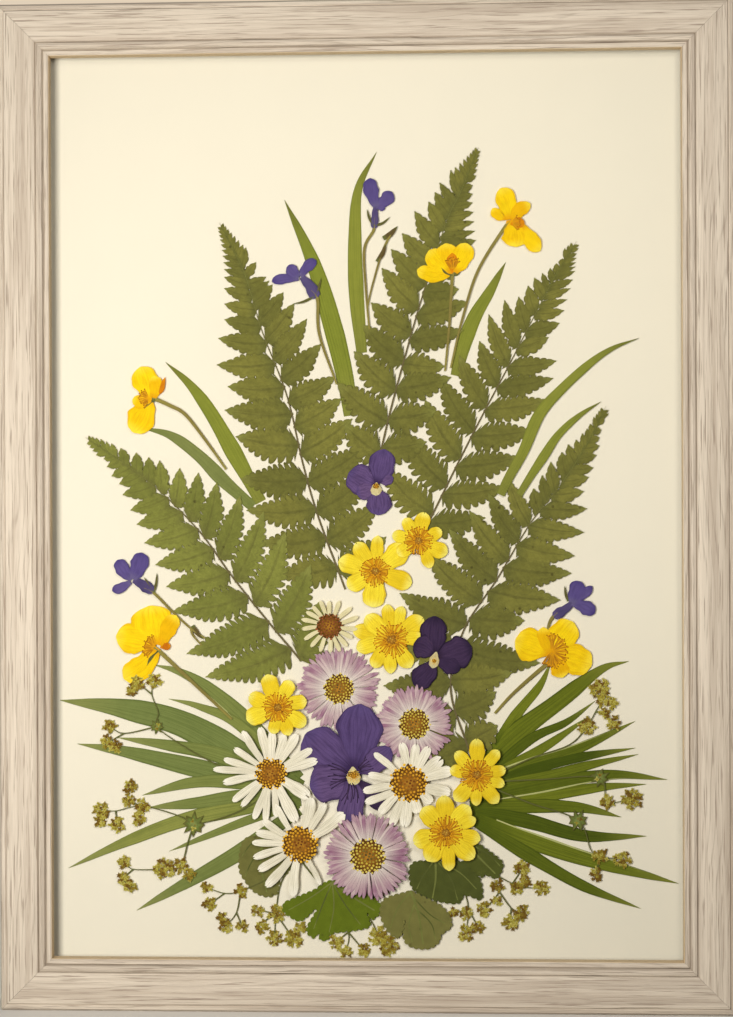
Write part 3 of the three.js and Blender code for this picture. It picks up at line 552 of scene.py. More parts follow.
@dataclass(frozen=True)
class LimedWood:
    """Pale limed wood with fine streaks, curved figure and painted shade in the
    grooves.
    """

    pale: Colour = colour(200, 188, 170)
    warm: Colour = colour(178, 165, 148)
    streak: Colour = colour(132, 117, 102)
    taupe: Colour = colour(162, 147, 130)
    # Colour of the painted shade in the grooves.
    dirt: Colour = colour(136, 118, 98)
    wall: Colour = colour(212, 186, 144)
    grooves: Stations = (
        (1.35, 0.0), (1.8, 0.3), (2.2, 0.0), (3.75, 0.0), (4.1, 0.3), (4.5, 0.0),
        (13.9, 0.0), (14.4, 0.3), (14.8, 0.05), (15.8, 0.0), (16.5, 0.3),
    )

    def make(self, way: GrainWay, effects: Effects) -> Material:
        """The material of a rail whose grain runs this way."""
        material, board, shader = blank(f"limed_wood_{way.name.lower()}")
        stretched = board.place(way.value)

        def grain(across: float, along: float) -> Any:
            """Coordinates stretched along the grain."""
            upright = way is GrainWay.UPRIGHT
            first, last = (across, along) if upright else (along, across)
            return board.place((first, across, last))

        fibres = use(
            board, effects.fibre,
            {
                "Vector": stretched, "Light": self.pale, "Dark": self.warm,
                "Contrast": 0.9,
            },
        )
        parts = board.add(
            "ShaderNodeSeparateXYZ",
            {0: board.add("ShaderNodeTexCoord").outputs["Object"]},
        ).outputs
        half_x, half_z = OPENING_HALF
        off_x = board.sum("SUBTRACT", board.sum("ABSOLUTE", parts[0]), half_x * MM)
        height = board.sum("ADD", parts[2], -CENTRE_Z * MM)
        off_z = board.sum("SUBTRACT", board.sum("ABSOLUTE", height), half_z * MM)
        outside = board.times(board.sum("MAXIMUM", off_x, off_z), 1000.0)
        bend = board.noise(grain(60.0, 9.0), 1.0, 2.0)
        half = board.times(outside, 0.5)
        rings = board.sum("MULTIPLY_ADD", bend, 9.0, half)
        figure = board.step(board.sum("PINGPONG", rings, 0.5), 0.36, 0.5)
        tone = board.noise(stretched, 0.8, 5.0, Roughness=0.75)
        figure = board.times(figure, board.step(tone, 0.35, 0.65))
        figured = board.mix(board.times(figure, 0.42), fibres["Colour"], self.streak)
        dash = board.noise(grain(2400.0, 60.0), 1.0, 3.0)
        ticks = board.step(dash, 0.56, 0.66)
        ticked = board.mix(board.times(ticks, 0.75), figured, self.streak)
        veil = board.noise(grain(420.0, 14.0), 1.0, 5.0, Roughness=0.65)
        taupe = board.times(board.step(veil, 0.46, 0.64), 0.5)
        ticked = board.mix(taupe, ticked, self.taupe)
        stops = [
            (place / RAIL_WIDTH, (value, value, value, 1.0))
            for place, value in self.grooves
        ]
        # Painted shade: the ramp darkens the grooves of the profile and its outer edge,
        # more or less as the tone wavers.
        groove = board.ramp(board.sum("DIVIDE", outside, RAIL_WIDTH), stops)
        waver = board.sum("MULTIPLY_ADD", tone, 0.9, 0.25, clamp=True)
        groove_shaded = board.mix(board.times(groove, waver), ticked, self.dirt)
        inner = board.sum("SUBTRACT", 1.0, board.step(outside, 0.02, 0.12))
        shown = board.mix(board.times(inner, 0.85), groove_shaded, self.wall)
        dress(board, shader, shown, 0.62, 0.3)
        rough = board.sum("MULTIPLY_ADD", ticks, -0.5, fibres["Height"])
        bump(board, board.sum("SUBTRACT", rough, figure), 0.05, shader)
        return material


@dataclass(frozen=True)
class HolderFinishes:
    """The finishes of the glass, the card, the board and the fittings."""

    card: Colour = colour(237, 230, 208)
    board: Colour = colour(150, 112, 72)
    board_dark: Colour = colour(104, 72, 42)
    zinc: Colour = colour(178, 178, 172)

    def make_card(self, effects: Effects) -> Material:
        """Ivory card with a faint tooth."""
        material, board, shader = blank("ivory_card")
        cloud = cloud_over(board, effects, self.card, 0.012, 60.0)
        fine = cloud_over(board, effects, cloud["Colour"], 0.012, 2600.0)
        dress(board, shader, fine["Colour"], 0.9, 0.15)
        bump(board, fine["Height"], 0.01, shader)
        return material

    def make_board(self, effects: Effects) -> Material:
        """Brown hardboard with pressed fibres."""
        material, board, shader = blank("hardboard")
        fibres = use(
            board, effects.fibre,
            {
                "Vector": board.place((700.0, 700.0, 260.0)), "Light": self.board,
                "Dark": self.board_dark, "Contrast": 0.8,
            },
        )
        cloud = cloud_over(board, effects, fibres["Colour"], 0.16, 90.0)
        dress(board, shader, cloud["Colour"], 0.72)
        bump(board, fibres["Height"], 0.08, shader)
        return material

    def make_zinc(self, effects: Effects) -> Material:
        """Zinc-plated steel, a little clouded and brushed."""
        material, board, shader = blank("zinc_plate")
        cloud = cloud_over(board, effects, self.zinc, 0.14, 260.0)
        lines = board.noise(board.place((3000.0, 3000.0, 60.0)), 1.0, 3.0)
        rough = board.sum("MULTIPLY_ADD", lines, 0.3, 0.22)
        dress(board, shader, cloud["Colour"], rough)
        board.feed(shader, "Metallic", 1.0)
        bump(board, lines, 0.01, shader)
        return material

    def make_glass(self) -> Material:
        """Clear sheet glass that lets the lamps through."""
        material, board, shader = blank("clear_glass")
        dress(board, shader, WHITE, 0.0)
        board.feed(shader, "Transmission Weight", 1.0)
        board.feed(shader, "IOR", 1.45)
        path = board.add("ShaderNodeLightPath").outputs["Is Shadow Ray"]
        clear = board.add("ShaderNodeBsdfTransparent").outputs[0]
        inputs = {0: path, 1: shader.outputs[0], 2: clear}
        both = board.add("ShaderNodeMixShader", inputs)
        sink = material.node_tree.nodes["Material Output"]
        board.feed(sink, "Surface", both.outputs[0])
        return material


# ------------------------------------------------------------------ modelling


def only(*objects: Piece) -> None:
    """Selects just these objects and makes the first one active."""
    bpy.ops.object.select_all(action="DESELECT")
    for item in objects:
        item.select_set(True)
    bpy.context.view_layer.objects.active = objects[0]


class Stock:
    """Plain meshes that the tissues start from, each modelled once."""

    def __init__(self) -> None:
        """Starts without meshes."""
        self.kept: dict[tuple, Mesh] = {}

    def _made(self, add: Callable[..., Any], **sizes: Any) -> Mesh:
        """The mesh of a primitive, added when it is first asked for."""
        key = (add, *sizes.values())
        if key not in self.kept:
            add(**sizes)
            item = bpy.context.object
            self.kept[key] = item.data
            bpy.data.objects.remove(item)
        return self.kept[key]

    def sheet(self, columns: int, rows: int) -> Mesh:
        """A flat grid from -1 to 1 both ways."""
        grid = bpy.ops.mesh.primitive_grid_add
        return self._made(grid, x_subdivisions=columns, y_subdivisions=rows, size=2)

    def round(self, corners: int, fill: str) -> Mesh:
        """A flat filled circle of radius 1."""
        circle = bpy.ops.mesh.primitive_circle_add
        return self._made(circle, vertices=corners, radius=1, fill_type=fill)

    def bud(self, sides: int) -> Mesh:
        """A small blunt cone, one high and one in radius."""
        cone = bpy.ops.mesh.primitive_cone_add
        return self._made(
            cone, vertices=sides, radius1=1, radius2=0.5, depth=1, end_fill_type="NGON"
        )


class Specimen:
    """One dried plant, built from flat tissues and small solid parts.

    Args:
        name: name of the solid that it stands for.
        layer: the layer it lies in, 0 next to the card.
        bench: the meshes and finishes that the parts are made with.
    """

    def __init__(self, name: str, layer: int, bench: Bench) -> None:
        """Starts a plant without parts."""
        self.name = name
        self.slot = name.split("_")[0]
        self.bench = bench
        self.front = FIRST_LAYER - layer * LAYER_PITCH - LAYER_DEPTH + FRONT_CLEARANCE
        self.flat: list[Piece] = []
        self.solid: list[Piece] = []
        self.chance = random.Random(name)

    def _add(
        self, mesh: Mesh, places: np.ndarray, shade: np.ndarray | float,
        look: Look, pile: list[Piece],
    ) -> None:
        """Gives a copied mesh its place, in millimetres, its shade and its finish."""
        metres = (places + np.array([0, 0, CENTRE_Z])) * MM
        mesh.vertices.foreach_set("co", metres.astype(np.float32).ravel())
        values = np.zeros(len(places), np.float32) + np.asarray(shade, np.float32)
        mesh.attributes.new("shade", "FLOAT", "POINT").data.foreach_set("value", values)
        mesh.materials.clear()
        mesh.materials.append(self.bench.material(look))
        item = bpy.data.objects.new(self.name + "_part", mesh)
        bpy.context.scene.collection.objects.link(item)
        pile.append(item)

    def tissue(
        self, line: Line, half: float, form: Form, look: Look, *, columns: int = 4,
        rows: int = 12, margin: Margin = Margin(), lift: float = 0.0,
        shade: float = 0.5, cup: float = 0.03, skirt: np.ndarray | None = None,
    ) -> None:
        """Adds a flat tissue along a line.

        Args:
            line: its middle line, from base to tip.
            half: half of its greatest width.
            form: how the width changes along it.
            look: its finish.
            columns: faces across.
            rows: faces along.
            margin: how its edge is cut.
            lift: how far it lies in front of the plant's first tissue.
            shade: 0 for the finish's body colour, 1 for its other one.
            cup: how far its middle stands out.
            skirt: the way its base edge runs, if not square to its line.
        """
        mesh = self.bench.stock.sheet(columns, rows).copy()
        flat = np.zeros(len(mesh.vertices) * 3, np.float32)
        mesh.vertices.foreach_get("co", flat)
        flat = flat.reshape(-1, 3)
        across, along = flat[:, 0].astype(float), (flat[:, 1].astype(float) + 1) / 2
        width = half * station(form.value, along) * margin.share(along)
        if margin.ruffle:
            phase = self.chance.uniform(0, FULL_TURN)
            swell = np.sin(along * 9 + phase + across) + np.sin(along * 17 + 2 * phase)
            width = width * (1 + margin.ruffle * swell)
        way, middle = line.way(along), line.at(along)
        beside = np.stack([way[:, 1], -way[:, 0]], axis=1)
        if skirt is not None:
            square = np.clip(along / 0.4, 0, 1)[:, None]
            beside = beside * square + skirt * (1 - square)
        forward = np.abs(across) * width * margin.lean
        forward -= margin.notch * np.exp(-((across / 0.35) ** 2)) * along**6
        spots = middle + beside * (across * width)[:, None] + way * forward[:, None]
        wave = WAVE_DEPTH * np.sin(along * 7)
        depth = self.front - lift - cup * (1 - across**2) + wave
        places = np.stack([spots[:, 0], depth, spots[:, 1]], axis=1)
        self._add(mesh, places, shade, look, self.flat)

    def outline(
        self, points: Sequence[Point], look: Look, shade: float, scallop: float,
    ) -> None:
        """Adds a flat tissue with this closed, scalloped outline."""
        rim = Line([*points, points[0]])
        corners = 4 * max(8, int(rim.length / 1.9))
        mesh = self.bench.stock.round(corners, "NGON").copy()
        shares = np.linspace(0, 1, corners, endpoint=False)
        spots, ways = rim.at(shares), rim.way(shares)
        swell = np.interp(np.arange(corners) % 4, (0, 1, 2, 3), (-1, 0.4, 0.7, 0.4))
        beside = np.stack([ways[:, 1], -ways[:, 0]], axis=1)
        turn = np.roll(spots, -1, axis=0)
        area = float(np.sum(spots[:, 0] * turn[:, 1] - turn[:, 0] * spots[:, 1]))
        spots = spots + beside * (swell * scallop * math.copysign(1, area))[:, None]
        if area < 0:
            spots = spots[::-1]
        order = np.argsort(self._angles(mesh))
        places = np.zeros((corners, 3))
        places[order, 0], places[order, 2] = spots[:, 0], spots[:, 1]
        places[:, 1] = self.front
        for loop in mesh.uv_layers[0].data:
            loop.uv = (0.5, 0.5)
        self._add(mesh, places, shade, look, self.flat)

    @staticmethod
    def _angles(mesh: Mesh) -> np.ndarray:
        """Direction of each corner of a circle, from 0 to a full turn."""
        co = np.array([v.co[:2] for v in mesh.vertices])
        return np.arctan2(co[:, 1], co[:, 0]) % (2 * math.pi)

    def star(
        self, at: Point, radius: float, points: int, look: Look, *, lift: float = 0.0,
        depth: float = 0.45, shade: tuple[float, float] = (1.0, 0.0),
    ) -> None:
        """Adds a small flat star, shaded from its middle to its points."""
        mesh = self.bench.stock.round(points * 2, "TRIFAN").copy()
        co = np.array([v.co for v in mesh.vertices])
        reach = np.linalg.norm(co, axis=1)
        angle = np.arctan2(co[:, 1], co[:, 0])
        number = np.round(angle / (math.pi / points)).astype(int)
        size = np.where(reach < 0.5, 0.0, np.where(number % 2 == 0, 1.0, 1 - depth))
        size = size * (1 + 0.12 * np.sin(number * 2.3 + self.chance.uniform(0, 6)))
        angle = angle + self.chance.uniform(0, FULL_TURN)
        depths = np.where(reach < 0.5, 0.05, 0.0)
        places = np.stack(
            [
                at[0] + radius * size * np.cos(angle), self.front - lift - depths,
                at[1] + radius * size * np.sin(angle),
            ],
            axis=1,
        )
        shades = np.where(reach < 0.5, shade[0], shade[1])
        self._add(mesh, places, shades, look, self.flat)

    def buds(
        self, spots: Sequence[tuple[float, float, float, float, float]], look: Look,
        sides: int = 6,
    ) -> None:
        """Adds many small blunt cones, each a copy of one.

        Args:
            spots: x, z, radius, height and shade of each.
            look: their finish.
            sides: corners of each.
        """
        base = self.bench.stock.bud(sides)
        shape = np.array([v.co for v in base.vertices])
        for x, z, radius, height, shade in spots:
            out = (shape[:, 2] + 0.5) * (height + TISSUE_THICKNESS)
            places = np.stack(
                [
                    x + shape[:, 0] * radius,
                    self.front + TISSUE_THICKNESS - DISC_LIFT - out,
                    z + shape[:, 1] * radius,
                ],
                axis=1,
            )
            self._add(base.copy(), places, shade, look, self.solid)

    def dome(self, disc: Disc) -> None:
        """Adds a flower's domed middle of florets in a spiral."""
        pitch = disc.radius / math.sqrt(disc.count)
        plate = disc.radius * 0.97
        # The plate under the florets is the disc's base; its darker colour is painted
        # shade in the gaps between the florets.
        self.star(disc.at, plate, 16, Look.DISC_BASE, lift=DISC_LIFT, depth=0.05)
        spots = []
        for number in range(disc.count):
            share = math.sqrt((number + 0.5) / disc.count)
            reach = share * disc.radius * self.chance.uniform(0.97, 1.03)
            x, z = np.array(disc.at) + turned(number * GOLDEN_ANGLE, reach)
            height = FLORET_HEIGHT * (1.25 - 0.6 * share * share)
            height *= self.chance.uniform(0.85, 1.1)
            tone = min(max(share + self.chance.uniform(-0.16, 0.16), 0.0), 1.0)
            spots.append((x, z, pitch * self.chance.uniform(0.78, 1.02), height, tone))
        self.buds(spots, disc.look)

    def finish(self) -> Piece:
        """Joins the parts, gives the flat ones their thickness and sets them in place.

        Returns:
            The plant as one object, its place in its mesh.
        """
        only(*self.flat)
        if len(self.flat) > 1:
            bpy.ops.object.join()
        plant = bpy.context.object
        thicken = plant.modifiers.new("thickness", "SOLIDIFY")
        thicken.thickness = TISSUE_THICKNESS * MM
        bpy.ops.object.modifier_apply(modifier=thicken.name)
        if self.solid:
            only(plant, *self.solid)
            bpy.ops.object.join()
        bpy.ops.object.shade_smooth_by_angle(angle=math.radians(SMOOTH_BELOW))
        plant.name = "pressed_" + self.name
        plant.data.name = plant.name
        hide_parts(self.name)
        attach(plant, "root")
        LOG.info("%s: %d faces", plant.name, len(plant.data.polygons))
        return plant


# ------------------------------------------------------------------ the looks


FERN_LINES = {
    "veins": 1.0, "vein_strength": 0.4, "rim": 0.45, "spots": 0.6, "mottle": 0.3,
    "mottle_scale": 640.0, "side_veins": 9.0,
}


class Look(Enum):
    """The finishes of the dried plants."""

    FERN = TissueFinish(
        "fern_leaflet", (127, 124, 58), (100, 100, 48), (84, 82, 43),
        root=(104, 104, 52), tip=(129, 130, 65), **FERN_LINES,
    )
    FERN_PALE = TissueFinish(
        "fern_leaflet_pale", (132, 135, 63), (108, 112, 52), (93, 91, 48),
        root=(110, 111, 56), tip=(138, 140, 71), **FERN_LINES,
    )
    RACHIS = TissueFinish(
        "fern_stalk", (111, 101, 67), (100, 89, 58), (93, 84, 56), tip=(128, 133, 63),
        veins=3.0, vein_strength=0.4, rim=0.3, tip_reach=0.55,
    )
    BLADE = TissueFinish(
        "grass_bright", (124, 134, 46), (149, 149, 65), (88, 99, 34),
        root=(132, 134, 59), tip=(118, 120, 52), veins=7.0, vein_strength=0.45, rim=0.4,
    )
    BLADE_GREY = TissueFinish(
        "grass_grey", (120, 128, 66), (135, 139, 86), (86, 94, 47), veins=6.0,
        vein_strength=0.4, rim=0.3,
    )
    TUFT = TissueFinish(
        "grass_green", (116, 128, 70), (142, 146, 72), (80, 94, 42),
        root=(108, 118, 58), tip=(142, 146, 82), veins=6.0, vein_strength=0.5, rim=0.6,
    )
    TUFT_DARK = TissueFinish(
        "grass_dark", (124, 132, 38), (68, 82, 20), (48, 60, 15), root=(84, 96, 25),
        tip=(130, 134, 54), veins=6.0, vein_strength=0.5, rim=0.6,
    )
    SLIVER = TissueFinish(
        "grass_pale_margin", (198, 196, 132), (168, 176, 104), (140, 150, 84),
        veins=2.0,
    )
    STEM = TissueFinish(
        "stem_olive", (148, 138, 70), (118, 104, 62), (108, 96, 46), veins=3.0,
        vein_strength=0.45, rim=0.45,
    )
    BUTTERCUP = TissueFinish(
        "buttercup_petal", (252, 219, 25), (238, 184, 17), (220, 161, 14),
        root=(230, 164, 20), tip=(255, 228, 62), veins=10.0, vein_strength=0.5,
        rim=0.35, mottle=0.16, roughness=0.4, gloss=0.5,
    )
    BUTTERCUP_ORANGE = TissueFinish(
        "buttercup_petal_brown", (226, 146, 22), (190, 104, 20), (170, 88, 16),
        veins=5.0, vein_strength=0.5, rim=0.4,
    )
    STAMEN = TissueFinish(
        "stamen", (222, 160, 28), (156, 94, 28), (150, 92, 24), veins=1.0,
        vein_strength=0.2,
    )
    CELANDINE = TissueFinish(
        "celandine_petal", (244, 222, 57), (228, 192, 29), (201, 163, 27),
        root=(219, 167, 36), tip=(249, 238, 113), veins=8.0, vein_strength=0.5, rim=0.5,
        mottle=0.16,
    )
    DAISY = TissueFinish(
        "daisy_petal", (249, 242, 218), (223, 215, 188), (182, 175, 145),
        root=(227, 212, 153), tip=(255, 249, 229), veins=3.0, vein_strength=0.6,
        rim=0.35, mottle=0.08,
    )
    DAISY_CREAM = TissueFinish(
        "daisy_petal_cream", (234, 225, 180), (214, 204, 154), (182, 168, 118),
        root=(206, 188, 128), veins=2.0, vein_strength=0.5, rim=0.5, mottle=0.08,
    )
    ASTER = TissueFinish(
        "aster_ray", (212, 190, 184), (154, 106, 130), (122, 76, 104),
        root=(238, 232, 214), tip=(184, 150, 162), veins=2.0, vein_strength=0.4,
        rim=0.75, root_reach=0.85, tip_reach=0.2, mottle=0.16,
    )
    VIOLA = TissueFinish(
        "viola_petal", (90, 72, 118), (110, 86, 126), (48, 34, 66), root=(56, 40, 76),
        tip=(92, 75, 122), veins=11.0, vein_strength=0.55, rim=0.55, mottle=0.2,
    )
    VIOLA_DARK = TissueFinish(
        "viola_petal_dark", (60, 45, 72), (76, 57, 86), (26, 18, 36), root=(44, 32, 52),
        tip=(50, 38, 62), veins=9.0, vein_strength=0.4, rim=0.8, mottle=0.22,
    )
    VIOLA_CREAM = TissueFinish(
        "viola_eye_cream", (222, 212, 158), (196, 160, 84), (120, 88, 60), veins=5.0,
        vein_strength=0.5, rim=0.2,
    )
    LOBELIA = TissueFinish(
        "lobelia_petal", (90, 77, 132), (104, 91, 140), (54, 45, 86),
        root=(106, 97, 136), tip=(80, 68, 126), veins=4.0, vein_strength=0.4, rim=0.4,
    )
    LOBELIA_TUBE = TissueFinish(
        "lobelia_tube", (92, 82, 122), (74, 64, 104), (52, 44, 78), veins=4.0,
        vein_strength=0.5, rim=0.4,
    )
    SEPAL = TissueFinish(
        "sepal_green", (104, 110, 58), (98, 78, 48), (72, 74, 36), veins=1.0,
        vein_strength=0.4, rim=0.3,
    )
    LEAF_BRIGHT = TissueFinish(
        "leaf_bright", (96, 110, 26), (108, 122, 38), (64, 88, 18), mottle=0.22,
        spots=0.3,
    )
    LEAF_OLIVE = TissueFinish(
        "leaf_olive", (124, 120, 66), (108, 108, 54), (80, 80, 40), mottle=0.25,
        spots=0.5,
    )
    LEAF_DULL = TissueFinish(
        "leaf_dull", (84, 90, 42), (82, 88, 38), (52, 58, 24), mottle=0.25, spots=0.5,
    )
    LEAF_VEIN = TissueFinish(
        "leaf_vein", (124, 130, 66), (60, 68, 30), (120, 120, 70), veins=1.0,
    )
    MANTLE = RadialFinish(
        "mantle_floret",
        ((0.0, (88, 60, 26)), (0.3, (124, 98, 34)),
         (0.65, (160, 150, 56)), (1.0, (200, 190, 104))),
    )
    BRACT = RadialFinish(
        "mantle_bract",
        ((0.0, (98, 92, 46)), (0.4, (104, 118, 56)),
         (1.0, (132, 140, 78))),
    )
    # Darker than the florets on it: painted shade in the gaps between them.
    DISC_BASE = RadialFinish(
        "disc_base",
        ((0.0, (76, 46, 18)), (0.45, (128, 86, 30)),
         (1.0, (178, 128, 44))),
    )
    DISC_DAISY = RadialFinish(
        "daisy_disc",
        ((0.0, (96, 50, 24)), (0.25, (130, 74, 28)),
         (0.48, (200, 138, 36)), (1.0, (242, 192, 60))),
    )
    DISC_ASTER = RadialFinish(
        "aster_disc",
        ((0.0, (84, 68, 38)), (0.28, (126, 106, 48)),
         (0.5, (198, 174, 62)), (1.0, (228, 208, 104))),
    )
    DISC_CELANDINE = RadialFinish(
        "celandine_disc",
        ((0.0, (196, 172, 78)), (0.4, (186, 130, 40)),
         (0.75, (158, 98, 24)), (1.0, (196, 132, 30))),
    )
    DISC_BROWN = RadialFinish(
        "daisy_disc_brown",
        ((0.0, (112, 62, 38)), (0.6, (132, 74, 42)),
         (1.0, (150, 92, 52))),
    )
    EYE = RadialFinish(
        "viola_eye",
        ((0.0, (196, 132, 26)), (0.5, (226, 172, 48)),
         (1.0, (232, 206, 110))),
    )


class Bench:
    """What every plant is made with: base meshes and finishes, each made once."""

    def __init__(self) -> None:
        """Starts without materials."""
        self.stock = Stock()
        self.effects = Effects()
        self.materials: dict[Look, Material] = {}

    def material(self, look: Look) -> Material:
        """The material of a look."""
        if look not in self.materials:
            self.materials[look] = look.value.make(self.effects)
        return self.materials[look]


# ------------------------------------------------------------------ the plants


@dataclass(frozen=True)
class Fern:
    """A fern frond, flat on the card.

    Attributes:
        name: the solid that it stands for.
        layer: the layer it lies in.
        stalk: its stalk, from the foot to the tip.
        left_tips: where the leaflets left of the stalk end.
        right_tips: the same to its right.
        left: lengths of the left leaflets along the stalk, where no tip is given.
        right: the same to the right.
        left_angle: angles of the left leaflets to the stalk.
        right_angle: the same to the right.
        look: its finish.
    """

    name: str
    layer: int
    stalk: tuple[Point, ...]
    left_tips: tuple[Point, ...]
    right_tips: tuple[Point, ...]
    left: Stations
    right: Stations
    left_angle: Stations
    right_angle: Stations
    look: Look = Look.FERN

    PITCH = ((0, 10.5), (0.33, 9.6), (0.5, 8), (0.7, 5.4), (0.85, 3.4), (1, 1.4))
    STALK_HALF_WIDTH = 0.3
    SINUS = ((0, 0.6), (0.35, 0.5), (0.55, 0.36), (0.75, 0.14))
    TOOTH = ((0, 0.38), (0.4, 0.28), (0.6, 0.22), (1, 0.2))
    FULLNESS = ((0, 0.62), (0.35, 0.64), (0.6, 0.68), (1, 0.7))

    def _leaflets(self, line: Line, side: int) -> list[tuple[float, np.ndarray, float]]:
        """Share of the foot, tip and width of each leaflet on one side."""
        tips = self.left_tips if side > 0 else self.right_tips
        angles = self.left_angle if side > 0 else self.right_angle
        lengths = self.left if side > 0 else self.right
        shares = np.linspace(0.02, 0.985, 400)
        feet, ways = line.at(shares), line.way(shares)
        found = []
        for tip in tips:
            arm = np.array(tip) - feet
            crossed = ways[:, 0] * arm[:, 1] - ways[:, 1] * arm[:, 0]
            turn = np.arctan2(crossed, (ways * arm).sum(axis=1))
            miss = np.abs(np.degrees(turn) * side - station(angles, shares))
            best = int(np.argmin(miss))
            found.append((float(shares[best]), np.array(tip, float)))
        found.sort(key=lambda leaflet: leaflet[0])
        # The feet sit evenly on the stalk, whatever the tips' small strays.
        order = np.arange(len(found))
        strayed = [leaflet[0] for leaflet in found]
        smooth = np.polyval(np.polyfit(order, strayed, 3), order)
        ends = sorted((tip for _, tip in found), key=lambda tip: nearest(line, tip))
        found = [(float(share), tip) for share, tip in zip(np.sort(smooth), ends)]

        def free(share: float) -> tuple[float, np.ndarray]:
            """A leaflet's share and its tip, where no tip is given."""
            turn = math.radians(float(station(angles, share))) * side
            way = line.way(share)
            turned_way = np.array(
                [
                    way[0] * math.cos(turn) - way[1] * math.sin(turn),
                    way[0] * math.sin(turn) + way[1] * math.cos(turn),
                ]
            )
            return share, line.at(share) + turned_way * float(station(lengths, share))

        low = found[0][0] - float(station(self.PITCH, found[0][0])) / line.length
        while low > 0.02:
            found.insert(0, free(low))
            low -= float(station(self.PITCH, low)) / line.length
        high = found[-1][0] + float(station(self.PITCH, found[-1][0])) / line.length
        while high < 0.985:
            found.append(free(high))
            high += float(station(self.PITCH, high)) * 0.8 / line.length
        filled = [found[0]]
        for share, tip in found[1:]:
            last, last_tip = filled[-1]
            usual = float(station(self.PITCH, share)) / line.length
            parts = max(1, round((share - last) / usual))
            for part in range(1, parts + 1):
                way = part / parts
                spot = last_tip + (tip - last_tip) * way
                filled.append((last + (share - last) * way, spot))
        found = filled
        leaflets = []
        for number, (share, tip) in enumerate(found):
            before = found[max(number - 1, 0)][0]
            after = found[min(number + 1, len(found) - 1)][0]
            spans = 1 if number in (0, len(found) - 1) else 2
            pitch = (after - before) * line.length / spans
            angle = math.radians(float(station(angles, share)))
            leaflets.append((share, tip, pitch * math.sin(angle)))
        return leaflets

    def make(self, bench: Bench) -> Piece:
        """Builds the frond."""
        plant = Specimen(self.name, self.layer, bench)
        line = Line(self.stalk)
        for side in (1, -1):
            for number, (share, tip, width) in enumerate(self._leaflets(line, side)):
                foot, way = line.at(share), line.way(share)
                reach = float(np.linalg.norm(tip - foot))
                if reach < 0.8:
                    continue
                foot = foot - (tip - foot) / reach * 0.5
                middle = foot + (tip - foot) * 0.5 - way * reach * 0.045
                joined = reach < 8.5
                lobes = max(3, round(reach / 2.2))
                cut = Margin(
                    lobes=lobes, root_depth=float(station(self.SINUS, share)),
                    tip_depth=float(station(self.TOOTH, share)), fade=0.5, lean=0.32,
                    ruffle=0.03,
                )
                plant.tissue(
                    Line([tuple(foot), tuple(middle), tuple(tip)]),
                    width * float(station(self.FULLNESS, share)),
                    Form.JOINED_LEAFLET if joined else Form.LEAFLET, self.look,
                    columns=6, rows=lobes * 5, margin=cut,
                    lift=(number % 3 + 1) * LIFT_STEP,
                    shade=plant.chance.uniform(0.0, 0.75), skirt=way * side,
                )
        plant.tissue(
            line, self.STALK_HALF_WIDTH, Form.RACHIS, Look.RACHIS, columns=2, rows=70,
            lift=5 * LIFT_STEP, shade=0.3, cup=0.05,
        )
        return plant.finish()


@dataclass(frozen=True)
class Blade:
    """One blade of grass.

    Attributes:
        width: its greatest width.
        line: its middle line, from the base.
        shade: 0 for the finish's body colour, 1 for its other one.
        margin: the side of its pale margin, -1 or 1, or 0 without one.
    """

    width: float
    line: tuple[Point, ...]
    shade: float
    margin: int = 0


@dataclass(frozen=True)
class Grass:
    """A blade, or a tuft of blades that are grown together."""

    name: str
    layer: int
    look: Look
    blades: tuple[Blade, ...]

    def make(self, bench: Bench) -> Piece:
        """Builds the blades, each a step in front of the one before."""
        plant = Specimen(self.name, self.layer, bench)
        for number, blade in enumerate(self.blades):
            line = Line(blade.line)
            lift = (number % 8) * LIFT_STEP
            plant.tissue(
                line, blade.width / 2, Form.BLADE, self.look, columns=6, rows=36,
                margin=Margin(ruffle=0.025), lift=lift, shade=blade.shade, cup=0.02,
            )
            if blade.margin:
                shares = np.linspace(0.12, 0.86, 9)
                ways = line.way(shares)
                beside = np.stack([ways[:, 1], -ways[:, 0]], axis=1) * blade.margin
                half = blade.width / 2 * station(Form.BLADE.value, shares) - 0.22
                edge = line.at(shares) + beside * half[:, None]
                plant.tissue(
                    Line([tuple(spot) for spot in edge]), 0.3, Form.SPEAR, Look.SLIVER,
                    columns=2, rows=24, lift=lift + LIFT_STEP / 2, shade=0.4,
                )
        return plant.finish()


@dataclass(frozen=True)
class Petal:
    """A petal or another small tissue from its base to its tip.

    Its look is that of the flower's kind, where none is given.
    """

    base: Point
    tip: Point
    width: float
    bow: float
    shade: float
    form: Form = Form.ROUND
    look: Look | None = None
    notch: float = 0.0
    ruffle: float = 0.05


@dataclass(frozen=True)
class Stem:
    """A stem through points, with its width at the foot and the end."""

    line: tuple[Point, ...]
    width: float
    shade: float = 0.4
    form: Form = Form.STALK
    look: Look = Look.STEM


def sepal(line: tuple[Point, ...], width: float, shade: float) -> Stem:
    """A green sepal, bract or bud along a line."""
    return Stem(line, width, shade, Form.BLADE, Look.SEPAL)


@dataclass(frozen=True)
class Fan:
    """Stamens that spread from a point between two directions, in degrees."""

    at: Point
    reach: float
    count: int
    start: float = 0.0
    end: float = 360.0
    inner: float = 0.15
    look: Look = Look.STAMEN
    width: float = 0.34


@dataclass(frozen=True)
class Disc:
    """A domed middle of many small florets in a spiral."""

    at: Point
    radius: float
    look: Look
    count: int


